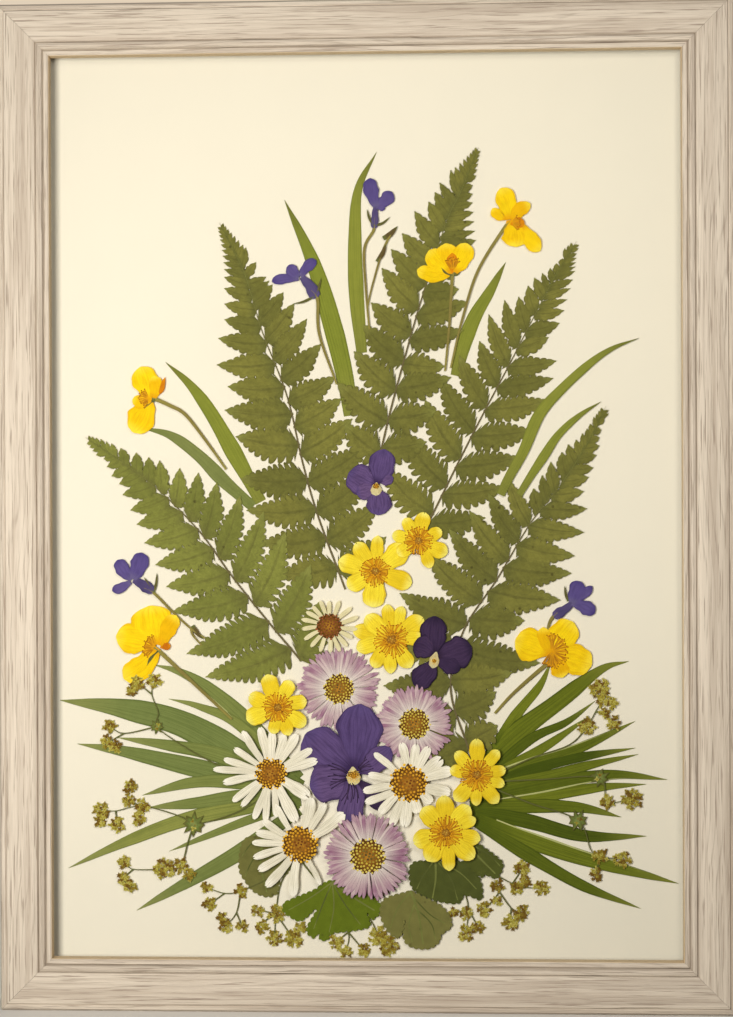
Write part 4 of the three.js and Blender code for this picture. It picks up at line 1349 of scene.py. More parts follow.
@dataclass(frozen=True)
class Flower:
    """A flower of any kind: stems at the back, then petals, stamens and middle.

    Attributes:
        name: the solid that it stands for, its kind first.
        layer: the layer it lies in.
        petals: its petals, the backmost first.
        stems: its stems and other narrow parts.
        fans: its rings of stamens.
        discs: its middles.
    """

    name: str
    layer: int
    petals: tuple[Petal, ...]
    stems: tuple[Stem, ...] = ()
    fans: tuple[Fan, ...] = ()
    discs: tuple[Disc, ...] = ()

    def make(self, bench: Bench) -> Piece:
        """Builds the flower."""
        plant = Specimen(self.name, self.layer, bench)
        for stem in self.stems:
            line = Line(stem.line)
            plant.tissue(
                line, stem.width / 2, stem.form, stem.look, columns=2,
                rows=max(8, int(line.length / 1.5)), shade=stem.shade, cup=0.06,
            )
        total = len(self.petals)
        for number, petal in enumerate(self.petals):
            base, tip = np.array(petal.base, float), np.array(petal.tip, float)
            arm = tip - base
            middle = (base + tip) / 2 + np.array([-arm[1], arm[0]]) * petal.bow
            step = number if total <= 8 else (number * 3) % 7
            narrow = petal.width < 2.2
            plant.tissue(
                Line([petal.base, tuple(middle), petal.tip]), petal.width / 2,
                petal.form, petal.look or Look[self.name.split("_")[0].upper()],
                columns=2 if narrow else 8, rows=10 if narrow else 16,
                margin=Margin(notch=petal.notch, ruffle=petal.ruffle),
                lift=(step + 1) * LIFT_STEP, shade=petal.shade,
                cup=0.02 if narrow else 0.03,
            )
        for fan in self.fans:
            self._spread(plant, fan)
        for disc in self.discs:
            plant.dome(disc)
        return plant.finish()

    @staticmethod
    def _spread(plant: Specimen, fan: Fan) -> None:
        """Adds the threads of a fan, each curved, with a swollen head on each where
        they are stamens.
        """
        at = np.array(fan.at, float)
        heads = []
        for number in range(fan.count):
            share = (number + plant.chance.uniform(0.2, 0.8)) / fan.count
            direction = fan.start + (fan.end - fan.start) * share
            reach = fan.reach * plant.chance.uniform(0.72, 1.0)
            out = turned(direction, 1.0)
            foot = at + out * reach * fan.inner
            bent = at + turned(direction + plant.chance.uniform(-9, 9), reach * 0.6)
            end = at + out * reach
            plant.tissue(
                Line([tuple(foot), tuple(bent), tuple(end)]), fan.width / 2,
                Form.THREAD, fan.look, columns=1, rows=4,
                lift=(9 + number % 3) * LIFT_STEP, shade=plant.chance.uniform(0.0, 0.8),
                cup=0.0,
            )
            heads.append((end[0], end[1], fan.width * 0.9, 0.13, 0.8))
        if fan.look is Look.STAMEN:
            plant.buds(heads, Look.DISC_CELANDINE, sides=5)


def round_petals(
    at: Point, rows: Sequence[Triple], form: Form,
    rng: random.Random, look: Look | None = None,
) -> tuple[Petal, ...]:
    """Petals round a point.

    Args:
        at: the flower's middle.
        rows: direction in degrees, length from the middle and width of each.
        form: their form.
        rng: draws their small differences.
        look: their finish, where it isn't that of the flower's kind.

    Returns:
        The petals, each a little different.
    """
    petals = []
    for direction, length, width in rows:
        base = np.array(at) + turned(direction, 1.2)
        tip = np.array(at) + turned(direction, length)
        double = form is Form.STRAP and width >= 4.4
        petals.append(
            Petal(
                tuple(base), tuple(tip), width * (0.88 if form is Form.STRAP else 1.06),
                rng.uniform(-0.035, 0.035), rng.uniform(0.0, 0.7), form, look,
                notch=1.7 if double else rng.choice((0.0, 0.3, 0.7)), ruffle=0.03,
            )
        )
    return tuple(petals)


@dataclass(frozen=True)
class Aster:
    """A mauve aster: two rings of thin rays round a domed middle."""

    name: str
    layer: int
    at: Point
    disc: float
    radius: float

    RAYS = 46

    def make(self, bench: Bench) -> Piece:
        """Builds the aster."""
        plant = Specimen(self.name, self.layer, bench)
        at = np.array(self.at, float)
        for ring, reach, width in ((0, 1.0, 1.6), (1, 0.94, 1.25)):
            for number in range(self.RAYS):
                direction = (number + ring / 2) * 360 / self.RAYS
                direction += plant.chance.uniform(-2.6, 2.6)
                length = self.radius * reach * plant.chance.uniform(0.9, 1.015)
                foot = at + turned(direction, self.disc * 0.5)
                tip = at + turned(direction, length)
                bow = turned(direction + 90, plant.chance.uniform(-0.35, 0.35))
                plant.tissue(
                    Line([tuple(foot), tuple((foot + tip) / 2 + bow), tuple(tip)]),
                    width / 2 * plant.chance.uniform(0.75, 1.05), Form.RAY, Look.ASTER,
                    columns=2, rows=8,
                    margin=Margin(notch=plant.chance.choice((0.0, 0.25, 0.4))),
                    lift=(ring * 4 + number % 4) * LIFT_STEP,
                    shade=plant.chance.uniform(0.0, 1.0) ** 1.3, cup=0.02,
                )
        plant.dome(Disc(self.at, self.disc, Look.DISC_ASTER, 90))
        return plant.finish()


@dataclass(frozen=True)
class Leaf:
    """A lobed leaf with its outline, its veins and its crease lines."""

    name: str
    layer: int
    look: Look
    outline: tuple[Point, ...]
    veins: tuple[tuple[Point, ...], ...]
    shade: float = 0.3

    SCALLOP = 0.3

    def make(self, bench: Bench) -> Piece:
        """Builds the leaf."""
        plant = Specimen(self.name, self.layer, bench)
        plant.outline(self.outline, self.look, self.shade, self.SCALLOP)
        for number, vein in enumerate(self.veins):
            plant.tissue(
                Line(vein), 0.24 if number else 0.36, Form.STALK, Look.LEAF_VEIN,
                columns=2, rows=10, lift=2 * LIFT_STEP,
                shade=0.25 if number % 2 == 0 else 0.75, cup=0.02,
            )
        return plant.finish()


@dataclass(frozen=True)
class Spray:
    """Lady's mantle: thin branching stalks with clusters of tiny star flowers."""

    name: str
    layer: int
    stalks: tuple[tuple[Point, ...], ...]
    heads: tuple[Triple, ...]
    bracts: tuple[Point, ...] = ()

    STALK_WIDTH = 0.5
    FLORET = 0.92
    TURN = 137.5

    def make(self, bench: Bench) -> Piece:
        """Builds the spray."""
        plant = Specimen(self.name, self.layer, bench)
        for stalk in self.stalks:
            line = Line(stalk)
            plant.tissue(
                line, self.STALK_WIDTH / 2, Form.STALK, Look.SEPAL, columns=2,
                rows=max(6, int(line.length / 1.6)), shade=0.25, cup=0.04,
            )
        for number, (x, z, radius) in enumerate(self.heads):
            leafy = any(math.hypot(x - a, z - b) < 1.5 for a, b in self.bracts)
            if leafy:
                reach = radius * 1.1
                plant.star((x, z), reach, 8, Look.BRACT, lift=LIFT_STEP, depth=0.4)
            count = 3 if leafy else max(9, round(radius * radius * 3.4))
            for floret in range(count):
                turn = floret * self.TURN + number * 50
                out = radius * math.sqrt((floret + 0.4) / count)
                if leafy:
                    out *= 0.4
                turn += plant.chance.uniform(-20, 20)
                spot = np.array([x, z]) + turned(turn, out)
                size = self.FLORET * plant.chance.uniform(0.75, 1.15)
                tone = plant.chance.choice((0.25, 0.55, 0.8, 1.0))
                plant.star(
                    tuple(spot), size, plant.chance.choice((4, 5, 5, 6)), Look.MANTLE,
                    lift=(2 + floret % 6) * LIFT_STEP, depth=0.56,
                    shade=(tone * 0.4, tone),
                )
        return plant.finish()


# ------------------------------------------------------------------ the bouquet

FERNS = (
    Fern("fern_frond_left_low", 2,
        stalk=((-21, -49), (-31.5, -36.5), (-43, -22), (-54, -7), (-70.5, 9),
        (-90, 22.5)),
        left_tips=((-84, 15.5), (-83, 13), (-81.5, 10), (-79, 7.5), (-78, 4),
        (-75.5, -1), (-73.5, -5.5), (-71, -11.5), (-67.5, -18.5), (-64, -25.5),
        (-62, -33.5), (-57.5, -47), (-51.5, -54.5)),
        right_tips=((-85, 22), (-81.5, 20.5), (-78.5, 19), (-73.5, 17.5), (-69.5, 16),
        (-66, 15), (-59.5, 12.5), (-53.5, 11), (-47.5, 8), (-40, 3.5), (-32.5, -1.5),
        (-25.5, -8), (-17.5, -18.5), (-15, -30.5)),
        left=((0, 22), (0.08, 26), (0.2, 27), (0.3, 24), (0.45, 19.5), (0.6, 15),
        (0.73, 9.5), (0.87, 5), (1, 1)),
        right=((0, 19), (0.12, 24), (0.2, 25), (0.36, 21), (0.52, 16.5), (0.68, 12),
        (0.84, 7), (1, 1)),
        left_angle=((0, 70), (0.5, 66), (1, 52)),
        right_angle=((0, 64), (0.5, 56), (1, 38)),
        look=Look.FERN_PALE,
    ),
    Fern("fern_frond_left_tall", 1,
        stalk=((-6.5, -26.5), (-15, -3.5), (-20, 14), (-25, 35.5), (-33, 56.5),
        (-38.5, 75), (-46.5, 91)),
        left_tips=((-45, 70), (-45, 65), (-45, 60), (-47, 54), (-47.5, 45.5),
        (-44, 38.5), (-45, 31), (-41.5, 22.5), (-40, 9)),
        right_tips=((-38, 83), (-31.5, 73.5), (-29.5, 71), (-26, 68.5), (-22.5, 65),
        (-18.5, 60), (-14, 52), (-9.5, 41.5), (-7.5, 34.5), (-4, 28), (1.5, 20)),
        left=((0, 18), (0.19, 22), (0.3, 22.5), (0.46, 21.5), (0.59, 19), (0.66, 16),
        (0.75, 11), (0.85, 7), (1, 1)),
        right=((0, 18), (0.19, 21), (0.3, 22), (0.46, 17), (0.66, 14.5), (0.75, 11),
        (0.85, 6), (1, 1)),
        left_angle=((0, 76), (0.5, 72), (0.8, 60), (1, 40)),
        right_angle=((0, 76), (0.5, 70), (0.8, 58), (1, 40)),
    ),
    Fern("fern_frond_centre", 2,
        stalk=((3, 9), (8, 30), (12.5, 46.5), (18, 65.5), (26, 90), (31, 100.5),
        (36.5, 114)),
        left_tips=((27.5, 107), (24, 103), (22.5, 100), (20.5, 97), (16, 94), (12, 87),
        (8.5, 82), (5.5, 76), (2, 65), (-0.5, 58), (-3.5, 49.5), (-9, 39.5),
        (-6.5, 26)),
        right_tips=((34.5, 102), (34.5, 96.5), (35, 90.5), (35.5, 84.5), (33, 77.5),
        (30, 69), (33, 65), (31.5, 56), (25.5, 44.5), (27.5, 41)),
        left=((0, 16), (0.1, 19), (0.28, 17.5), (0.5, 17.5), (0.62, 15), (0.74, 12),
        (0.86, 7.5), (1, 1)),
        right=((0, 14), (0.25, 16), (0.45, 17), (0.55, 12.5), (0.66, 11), (0.8, 6),
        (1, 1)),
        left_angle=((0, 66), (0.6, 62), (0.85, 52), (1, 36)),
        right_angle=((0, 68), (0.6, 65), (0.85, 52), (1, 36)),
    ),
    Fern("fern_frond_right_tall", 1,
        stalk=((19, -7.5), (30, 14.5), (38, 30), (45.5, 44), (52.5, 57.5), (61, 73.5),
        (67.5, 84)),
        left_tips=((63, 78.5), (59, 75.5), (54, 72.5), (52, 70), (49, 66.5),
        (44.5, 65.5), (39.5, 61), (36.5, 52.5), (30, 48), (24, 41), (19, 34)),
        right_tips=((67.5, 80), (67, 74.5), (65.5, 69), (63.5, 62), (62, 58),
        (58.5, 53.5), (61, 46), (60, 40.5), (59, 33.5), (54, 24), (49.5, 15.5)),
        left=((0, 22), (0.2, 24), (0.4, 20), (0.58, 16), (0.68, 14), (0.78, 9),
        (0.9, 4.5), (1, 1)),
        right=((0, 18), (0.2, 22), (0.4, 20), (0.55, 15.5), (0.64, 11), (0.75, 9.5),
        (0.87, 7), (1, 1)),
        left_angle=((0, 78), (0.2, 62), (0.6, 48), (1, 40)),
        right_angle=((0, 58), (0.6, 52), (1, 42)),
    ),
    Fern("fern_frond_right_low", 2,
        stalk=((33, -78.5), (27, -58.5), (31, -40), (42, -23), (52.5, -5.5), (62.5, 7),
        (72, 22), (76.5, 31.5)),
        left_tips=((71.5, 26), (70.5, 24.5), (69, 23), (67, 21), (64.5, 19.5),
        (62.5, 17), (59, 14), (53.5, 5.5)),
        right_tips=((76, 27.5), (75, 24), (74.5, 21.5), (74.5, 19), (73.5, 16),
        (72.5, 12), (71, 9), (69.5, 4.5), (70.5, -1), (69.5, -8.5), (66.5, -16),
        (65.5, -21.5), (62, -30), (50.5, -36.5), (55.5, -50)),
        left=((0, 12), (0.15, 20), (0.25, 24), (0.45, 23), (0.6, 18), (0.75, 10.5),
        (0.9, 5), (1, 1)),
        right=((0, 10), (0.15, 16), (0.25, 25), (0.4, 22.5), (0.55, 20), (0.7, 15),
        (0.8, 10), (0.9, 6.5), (1, 1)),
        left_angle=((0, 96), (0.35, 92), (0.5, 72), (0.7, 52), (1, 42)),
        right_angle=((0, 84), (0.3, 78), (0.5, 64), (0.8, 50), (1, 42)),
    ),
)

GRASSES = (
    Grass("grass_blade_a", 0, Look.BLADE, (
        Blade(6.4, ((-4.5, 29), (-6.2, 40.5), (-10, 56.5), (-16.4, 78), (-25.5, 98)),
            0.2),
    )),
    Grass("grass_blade_b", 0, Look.BLADE, (
        Blade(5, ((-1, 49), (-2.5, 66), (-3, 85), (-2, 101), (4, 113)), 0.55),
    )),
    Grass("grass_blade_c", 0, Look.BLADE, (
        Blade(5, ((29, 41.5), (31, 49.5), (35, 60), (40, 68.5), (45, 77.5)), 0.4),
    )),
    Grass("grass_blade_d", 0, Look.BLADE, (
        Blade(5.4, ((-33.5, 1.5), (-40, 13.5), (-49, 29.5), (-56, 39), (-64, 46.5)),
            0.35),
    )),
    Grass("grass_blade_e", 0, Look.BLADE_GREY, (
        Blade(4.6, ((-36, 0), (-40, 3.5), (-45.5, 8.5), (-53.5, 16.5), (-62.5, 23),
            (-72, 25.5)), 0.3),
    )),
    Grass("grass_blade_f", 3, Look.BLADE, (
        Blade(3.8, ((43, 3.5), (46, 9.5), (50.5, 17.5), (55.5, 29), (63, 37.5),
            (72, 45.5), (79, 50), (87, 53)), 0.6),
    )),
    Grass("grass_blade_g", 3, Look.BLADE, (
        Blade(3, ((49, 3.5), (53, 10), (57, 16), (61.5, 22.5), (68, 28.5), (75, 33)),
            0.5),
    )),
    Grass("grass_tuft_left", 0, Look.TUFT, (
        Blade(5.6, ((-21.5, -87), (-38, -69), (-50, -58.5), (-59.5, -53),
            (-68.5, -50.5)), 0.3, -1),
        Blade(4, ((-21.5, -88.5), (-40.5, -70), (-53.5, -64), (-63.5, -61.5)), 0.6),
        Blade(10, ((-21.5, -91), (-42, -79), (-59.5, -69.5), (-79, -64.5),
            (-98.5, -62)), 0.05),
        Blade(5.4, ((-21.5, -91), (-46, -80), (-63, -76.5), (-80, -74)), 0.35),
        Blade(6.4, ((-24.5, -92), (-43.5, -86.5), (-60, -82.5), (-77.5, -78.5),
            (-93, -76)), 0.1),
        Blade(4.8, ((-24.5, -90.5), (-42, -88), (-56.5, -88.5), (-72, -92.5)), 0.45),
        Blade(5, ((-24.5, -92.5), (-40.5, -93), (-55, -95), (-70.5, -96.5)), 0.3),
        Blade(5.2, ((-21, -94), (-40, -96.5), (-59, -100.5), (-77.5, -107.5),
            (-96, -116)), 1.0),
        Blade(3, ((-21.5, -95.5), (-35.5, -99.5), (-48.5, -104.5), (-63.5, -110.5)),
            0.45),
        Blade(5.4, ((-21.5, -97), (-39, -109.5), (-56, -119.5), (-74, -129.5)), 0.25),
    )),
    Grass("grass_tuft_right", 0, Look.TUFT_DARK, (
        Blade(3.6, ((41, -76), (49, -65), (55.5, -57), (59, -49.5)), 0.1),
        Blade(6.6, ((33, -87.5), (46, -74), (61.5, -62), (75, -52), (83.5, -49.5)),
            0.35),
        Blade(3.4, ((36.5, -87.5), (52, -74.5), (63.5, -69), (73, -62)), 0.7),
        Blade(3.4, ((36.5, -87.5), (55.5, -77.5), (71, -67)), 0.2),
        Blade(4.4, ((33, -89), (52, -82.5), (68, -77), (85.5, -68.5)), 0.5, -1),
        Blade(4, ((33, -90.5), (52, -84), (68, -80), (85.5, -77)), 0.9),
        Blade(4, ((33, -91), (55.5, -86.5), (71, -82.5), (86.5, -79)), 0.3),
        Blade(4.8, ((33, -93.5), (55.5, -89), (77.5, -85.5), (95.5, -87)), 0.6, 1),
        Blade(4.4, ((33, -95.5), (55.5, -92.5), (74.5, -89.5), (89, -88.5)), 0.15),
        Blade(5, ((33, -95.5), (52, -95.5), (68, -96), (81, -99)), 0.45),
        Blade(5, ((33, -97), (52, -100.5), (69.5, -105), (89, -105)), 0.8),
        Blade(5.6, ((33, -98.5), (52, -106.5), (74, -113.5), (99, -120)), 0.25, -1),
        Blade(4.6, ((33, -99.5), (49, -109.5), (68, -120.5), (87, -128)), 0.6),
    )),
)

# Name, layer, middle and disc, then each petal's direction, length and width.
CELANDINES = (
    ("celandine_1", 3, (3.2, -20.7), 4.2, (
        (86, 11.4, 4), (124, 11.1, 5), (164, 12.3, 6), (210, 10.4, 5.5),
        (266, 11.6, 7.2), (340, 12.3, 6), (40, 12.8, 7),
    )),
    ("celandine_2", 4, (16.9, -11), 4, (
        (77, 9.3, 4.8), (122, 8.4, 4), (167, 8.6, 4), (213, 8, 4.5), (23, 8.2, 4),
        (336, 10.1, 5), (294, 9.6, 3.8),
    )),
    ("celandine_3", 4, (8.3, -42.5), 5, (
        (72, 11.2, 3.9), (97, 11.4, 4), (136, 11.2, 6), (165, 12.9, 5), (195, 11.7, 5),
        (236, 10.8, 4.5), (268, 10.9, 4), (304, 10.8, 5), (34, 12.3, 5.5), (4, 10, 4.5),
    )),
    ("celandine_4", 9, (-28.1, -64), 4.2, (
        (12, 9.5, 4.6), (327, 10.6, 5), (292, 9.7, 4.2), (259, 8.7, 3.8),
        (202, 10.8, 6), (158, 10, 5), (108, 11, 5.4), (62, 9.5, 4.6),
    )),
    ("celandine_5", 9, (35.2, -85.4), 4.6, (
        (90, 11.5, 4.7), (48, 10.5, 3.8), (11, 9.4, 3.8), (339, 9.4, 3.6),
        (307, 11.2, 4.5), (269, 9.9, 3.6), (230, 10.8, 5), (168, 8.7, 4),
        (133, 9.9, 4.2),
    )),
    ("celandine_6", 11, (25.3, -103.8), 4.6, (
        (93, 11.9, 5.5), (48, 11.4, 5.5), (25, 10.6, 4), (349, 11.2, 5),
        (318, 12.1, 5.5), (275, 12.2, 4.2), (236, 10.8, 6), (197, 10.8, 6),
        (132, 10.8, 6),
    )),
)

DAISY_SLIMNESS = 0.86
DAISIES = (
    ("daisy_1", 8, (-30.4, -85.2), 5.1, (
        (124, 16.3, 3.3), (146, 14.3, 3), (163, 15.8, 3), (176, 18.6, 3),
        (191, 15.7, 3.4), (216, 15.2, 3.2), (228, 14.4, 2.6), (249, 15.6, 3.2),
        (263, 15.4, 3), (277, 14, 3), (297, 17.4, 5), (328, 14.4, 5.4), (16, 15.5, 4),
        (31, 15.3, 3.6), (56, 15.2, 4), (71, 13.4, 3.4), (88, 13.6, 3.6),
        (103, 15.2, 3.8),
    )),
    ("daisy_2", 8, (13.6, -88.2), 6, (
        (100, 13.2, 3.8), (79, 12.8, 3.8), (61, 13.4, 4), (37, 13.3, 5.4),
        (17, 14.4, 5), (347, 13.6, 5), (320, 9.6, 4), (287, 10, 4.6), (264, 14, 5),
        (247, 14.7, 4), (226, 13.6, 4), (204, 15.3, 3.4), (190, 14.8, 3.6),
        (168, 13.3, 3.2), (139, 14.6, 3),
    )),
    ("daisy_3", 9, (-21.2, -107.8), 5.8, (
        (76, 15.5, 4.6), (58, 15.6, 3.4), (35, 17.4, 5), (121, 14.9, 2.8),
        (147, 14.2, 3.4), (165, 14.6, 3.6), (178, 15.3, 3), (196, 15.6, 3.2),
        (212, 15.8, 3.6), (231, 17.4, 4), (262, 16.8, 4.2), (297, 14.5, 2.4),
    )),
    ("daisy_4", 5, (-11.6, -38.2), 4.1, (
        (130, 8.4, 1.9), (110, 8.7, 1.9), (90, 8, 1.9), (68, 8.7, 1.9), (40, 9.3, 2),
        (18, 9.7, 2), (354, 9, 1.9), (333, 8.4, 1.9), (312, 8.7, 1.9), (293, 8.9, 1.9),
        (272, 8.5, 1.9), (250, 8.8, 1.9), (228, 9, 1.9), (208, 9.2, 1.9),
        (186, 9, 1.9), (166, 9.2, 1.9), (148, 8.8, 1.9),
    )),
)

ASTERS = (
    Aster("aster_1", 3, (-8.7, -58.3), 4.9, 13.6),
    Aster("aster_2", 6, (15.4, -69.4), 5, 12.6),
    Aster("aster_3", 10, (0.4, -111.5), 5.7, 14.4),
)

SPRAYS = (
    Spray("mantle_spray_left", 3, (((-30, -91), (-45, -84), (-58, -77), (-67.2, -70.4),
        (-66.6, -66), (-68.8, -60), (-67.8, -55.7)), ((-68.8, -60), (-73.2, -56.5)),
        ((-67.2, -70.4), (-77.8, -72.6), (-82.2, -70.5)), ((-77.8, -72.6),
        (-83, -75.5)), ((-30, -91), (-42, -98), (-55.4, -101.7), (-59, -99.4),
        (-71.9, -95.9), (-80.6, -97.5), (-85, -97)), ((-71.9, -95.9), (-76.4, -94),
        (-76, -89.6)), ((-71.9, -95.9), (-73.2, -99.9)), ((-80.6, -97.5), (-80, -102)),
        ((-55.4, -101.7), (-57.3, -107.4), (-59.7, -115), (-64.9, -116), (-75, -116.2),
        (-78, -114)), ((-75, -116.2), (-78.2, -119.3), (-76, -121.7))),
        ((-67.8, -55.7, 2.3), (-73.4, -56.6, 2.3), (-75.5, -59.2, 1.5),
        (-67.2, -70.4, 2.2), (-82.4, -70.4, 2), (-83.2, -75.4, 2), (-80.5, -76.8, 2),
        (-76, -89.6, 2), (-76.4, -94, 2), (-71.9, -95.9, 2.3), (-73.2, -100, 2.2),
        (-85.2, -97.4, 2.6), (-85.5, -100.6, 2), (-80, -102, 2.3),
        (-55.4, -101.7, 3.6), (-78, -113.9, 2), (-78.2, -119.4, 2), (-76, -121.7, 2),
        (-65, -116, 3.3), (-59.7, -115, 2.3), (-57, -117.8, 2)), ((-67.2, -70.4),
        (-55.4, -101.7))),
    Spray("mantle_spray_bottom_left", 2, (((-22, -112), (-30.5, -118.4), (-40.4, -123),
        (-45.6, -123.8), (-51.2, -122)), ((-45.6, -123.8), (-50.3, -127.2)),
        ((-40.4, -123), (-41.8, -130), (-45.2, -134.2)), ((-41.8, -130),
        (-40, -134.2)), ((-22, -112), (-27.4, -120.4), (-29.1, -130.3), (-29.6, -138)),
        ((-29.1, -130.3), (-35, -129)), ((-29.1, -130.3), (-34.3, -133.5)),
        ((-29.1, -130.3), (-23.5, -138.3)), ((-22, -112), (-12, -125), (-6, -136),
        (-6.8, -142.4)), ((-6, -136), (-10, -139.2)), ((-12, -125), (0, -131),
        (3.8, -137.2), (7.2, -140.4)), ((-6, -136), (-1, -141.8))),
        ((-51.2, -122, 1.7), (-50.3, -127.2, 2.1), (-40.4, -123, 2),
        (-46.4, -131.4, 1.7), (-45.2, -134.2, 2.2), (-40, -134.2, 1.9),
        (-35, -129.4, 2), (-33.6, -134.4, 2), (-29.1, -130.3, 2.7), (-29.6, -138, 2.5),
        (-23.5, -138.3, 2.8), (-21.2, -134.8, 2), (-10, -139.2, 2.3),
        (-6.8, -142.4, 1.9), (-1, -141.8, 1.9), (3.8, -137.2, 3), (7.2, -140.4, 3))),
    Spray("mantle_spray_bottom_right", 2, (((28, -110), (31.4, -123.3), (32.4, -128.6),
        (31.6, -136)), ((32.4, -128.6), (28, -129.6)), ((32.4, -128.6), (35.4, -134)),
        ((28, -110), (42.2, -118), (46.4, -120.2), (50.5, -121.4), (55.6, -121.6)),
        ((46.4, -120.2), (49.6, -115.4)), ((42.2, -118), (42.2, -122.8),
        (37.4, -128.6)), ((42.2, -122.8), (46, -128), (49, -129.6)), ((46, -128),
        (45.6, -132.7))), ((27.6, -129.4, 1.4), (31.6, -129.8, 2), (31.6, -136, 2.6),
        (35.4, -134.2, 2), (41.6, -121, 2.1), (37.4, -128.6, 2.3), (41.4, -125.6, 1.6),
        (49.6, -115.4, 2.5), (50.2, -119.6, 1.8), (47.6, -121.8, 2),
        (55.6, -121.6, 2.3), (49, -129.6, 2.5), (45.6, -132.7, 2.5))),
    Spray("mantle_spray_right", 3, (((36, -88), (52, -80.5), (64.5, -76),
        (70.2, -70.2), (72.8, -65.6), (75, -61.5), (74.2, -58)), ((75, -61.5),
        (78.2, -62.6)), ((72.8, -65.6), (75.6, -65.8), (78.4, -69)), ((36, -88),
        (56, -87), (74, -86.4), (76.4, -94), (84.2, -93.2)), ((36, -88), (52, -94.5),
        (67.2, -100), (71.3, -109.4), (74.2, -111.4), (81.2, -112.3)), ((74.2, -111.4),
        (73, -117))), ((74.2, -58.2, 3.1), (75.2, -62, 2), (78.2, -62.6, 1.7),
        (75.7, -65.8, 1.7), (70.2, -70.2, 2.6), (78.4, -69, 2.3), (74.2, -86.4, 2.8),
        (76.5, -94.1, 2.2), (84.2, -93.2, 3.2), (67.2, -100, 3.1), (74.2, -111.4, 2.3),
        (81.2, -112.3, 2.6), (73, -117, 2)), ((67.2, -100), (74.2, -86.4))),
)

LEAVES = (
    Leaf("leaf_1", 3, Look.LEAF_BRIGHT, ((-26.5, -126.5), (-23, -125), (-17, -122.5),
        (-11.5, -119.5), (-2, -121), (4, -126.5), (4, -130), (1.5, -132), (0, -129.5),
        (1, -134), (-4, -135.5), (-11, -136.5), (-12.5, -138.5), (-15, -138.5),
        (-15.5, -136.5), (-17, -138), (-19, -136.5), (-19, -134), (-16, -128.5),
        (-21, -132.5), (-25, -131), (-27, -129)), (((-11, -120), (-4, -125),
        (2.5, -129)), ((-11, -120), (-7, -127), (-2, -133.5)), ((-11, -120),
        (-10.5, -128), (-12, -136)), ((-11, -120), (-14, -127), (-17, -135)),
        ((-11, -120), (-18, -125), (-25, -129)))),
    Leaf("leaf_2", 4, Look.LEAF_OLIVE, ((14, -122.5), (6, -125), (4.3, -128),
        (4.5, -131.5), (7, -136), (10.5, -137.5), (12.5, -131.5), (11.5, -136.5),
        (12.5, -139.5), (15.5, -141), (20, -141), (23, -139), (24, -136.5), (27, -134),
        (26.5, -130.5), (24, -127.5), (20.5, -125.5)), (((14, -122.5), (16.5, -130),
        (18, -139.5)), ((14.3, -124), (20, -130), (25, -133)), ((14, -123), (10, -128),
        (7.5, -134.5)), ((15.5, -128), (20.5, -133), (22, -138)), ((15.2, -127),
        (13.5, -133), (14.5, -139)))),
    Leaf("leaf_3", 3, Look.LEAF_DULL, ((22, -113), (15, -113.5), (13.5, -117.5),
        (15, -122.5), (21, -125.5), (25.5, -126.5), (29.5, -126.5), (31.5, -124),
        (36, -125.5), (37, -123.5), (36, -118.5), (31.5, -113.5)), (((22, -113),
        (22, -119), (21, -125)), ((22.5, -113), (27, -119), (29, -125.5)), ((23, -113),
        (30, -117), (35, -122)), ((21.5, -113), (18, -118), (16, -122))), shade=0.1),
    Leaf("leaf_4", 4, Look.LEAF_DULL, ((34.5, -106.5), (42, -112), (43.5, -114.5),
        (41.5, -118.5), (38, -117.5), (36, -118), (30.5, -112)), (((33, -109),
        (37, -113), (41, -117)), ((34, -108), (39, -111), (42.5, -114.5))), shade=0.9),
    Leaf("leaf_5", 1, Look.LEAF_OLIVE, ((-34, -105), (-38.5, -106), (-40.5, -109.5),
        (-41, -116), (-39, -120), (-36, -123.5), (-31.5, -125), (-28.5, -123.5),
        (-27.5, -119), (-24.5, -116), (-26, -108.5)), (((-33, -106), (-34, -114),
        (-32, -123.5)), ((-33.4, -109), (-37, -114), (-39, -118.5)), ((-33.4, -110),
        (-31, -115), (-27.5, -117.5)), ((-33, -106), (-37, -108), (-40, -112))),
        shade=0.5),
)

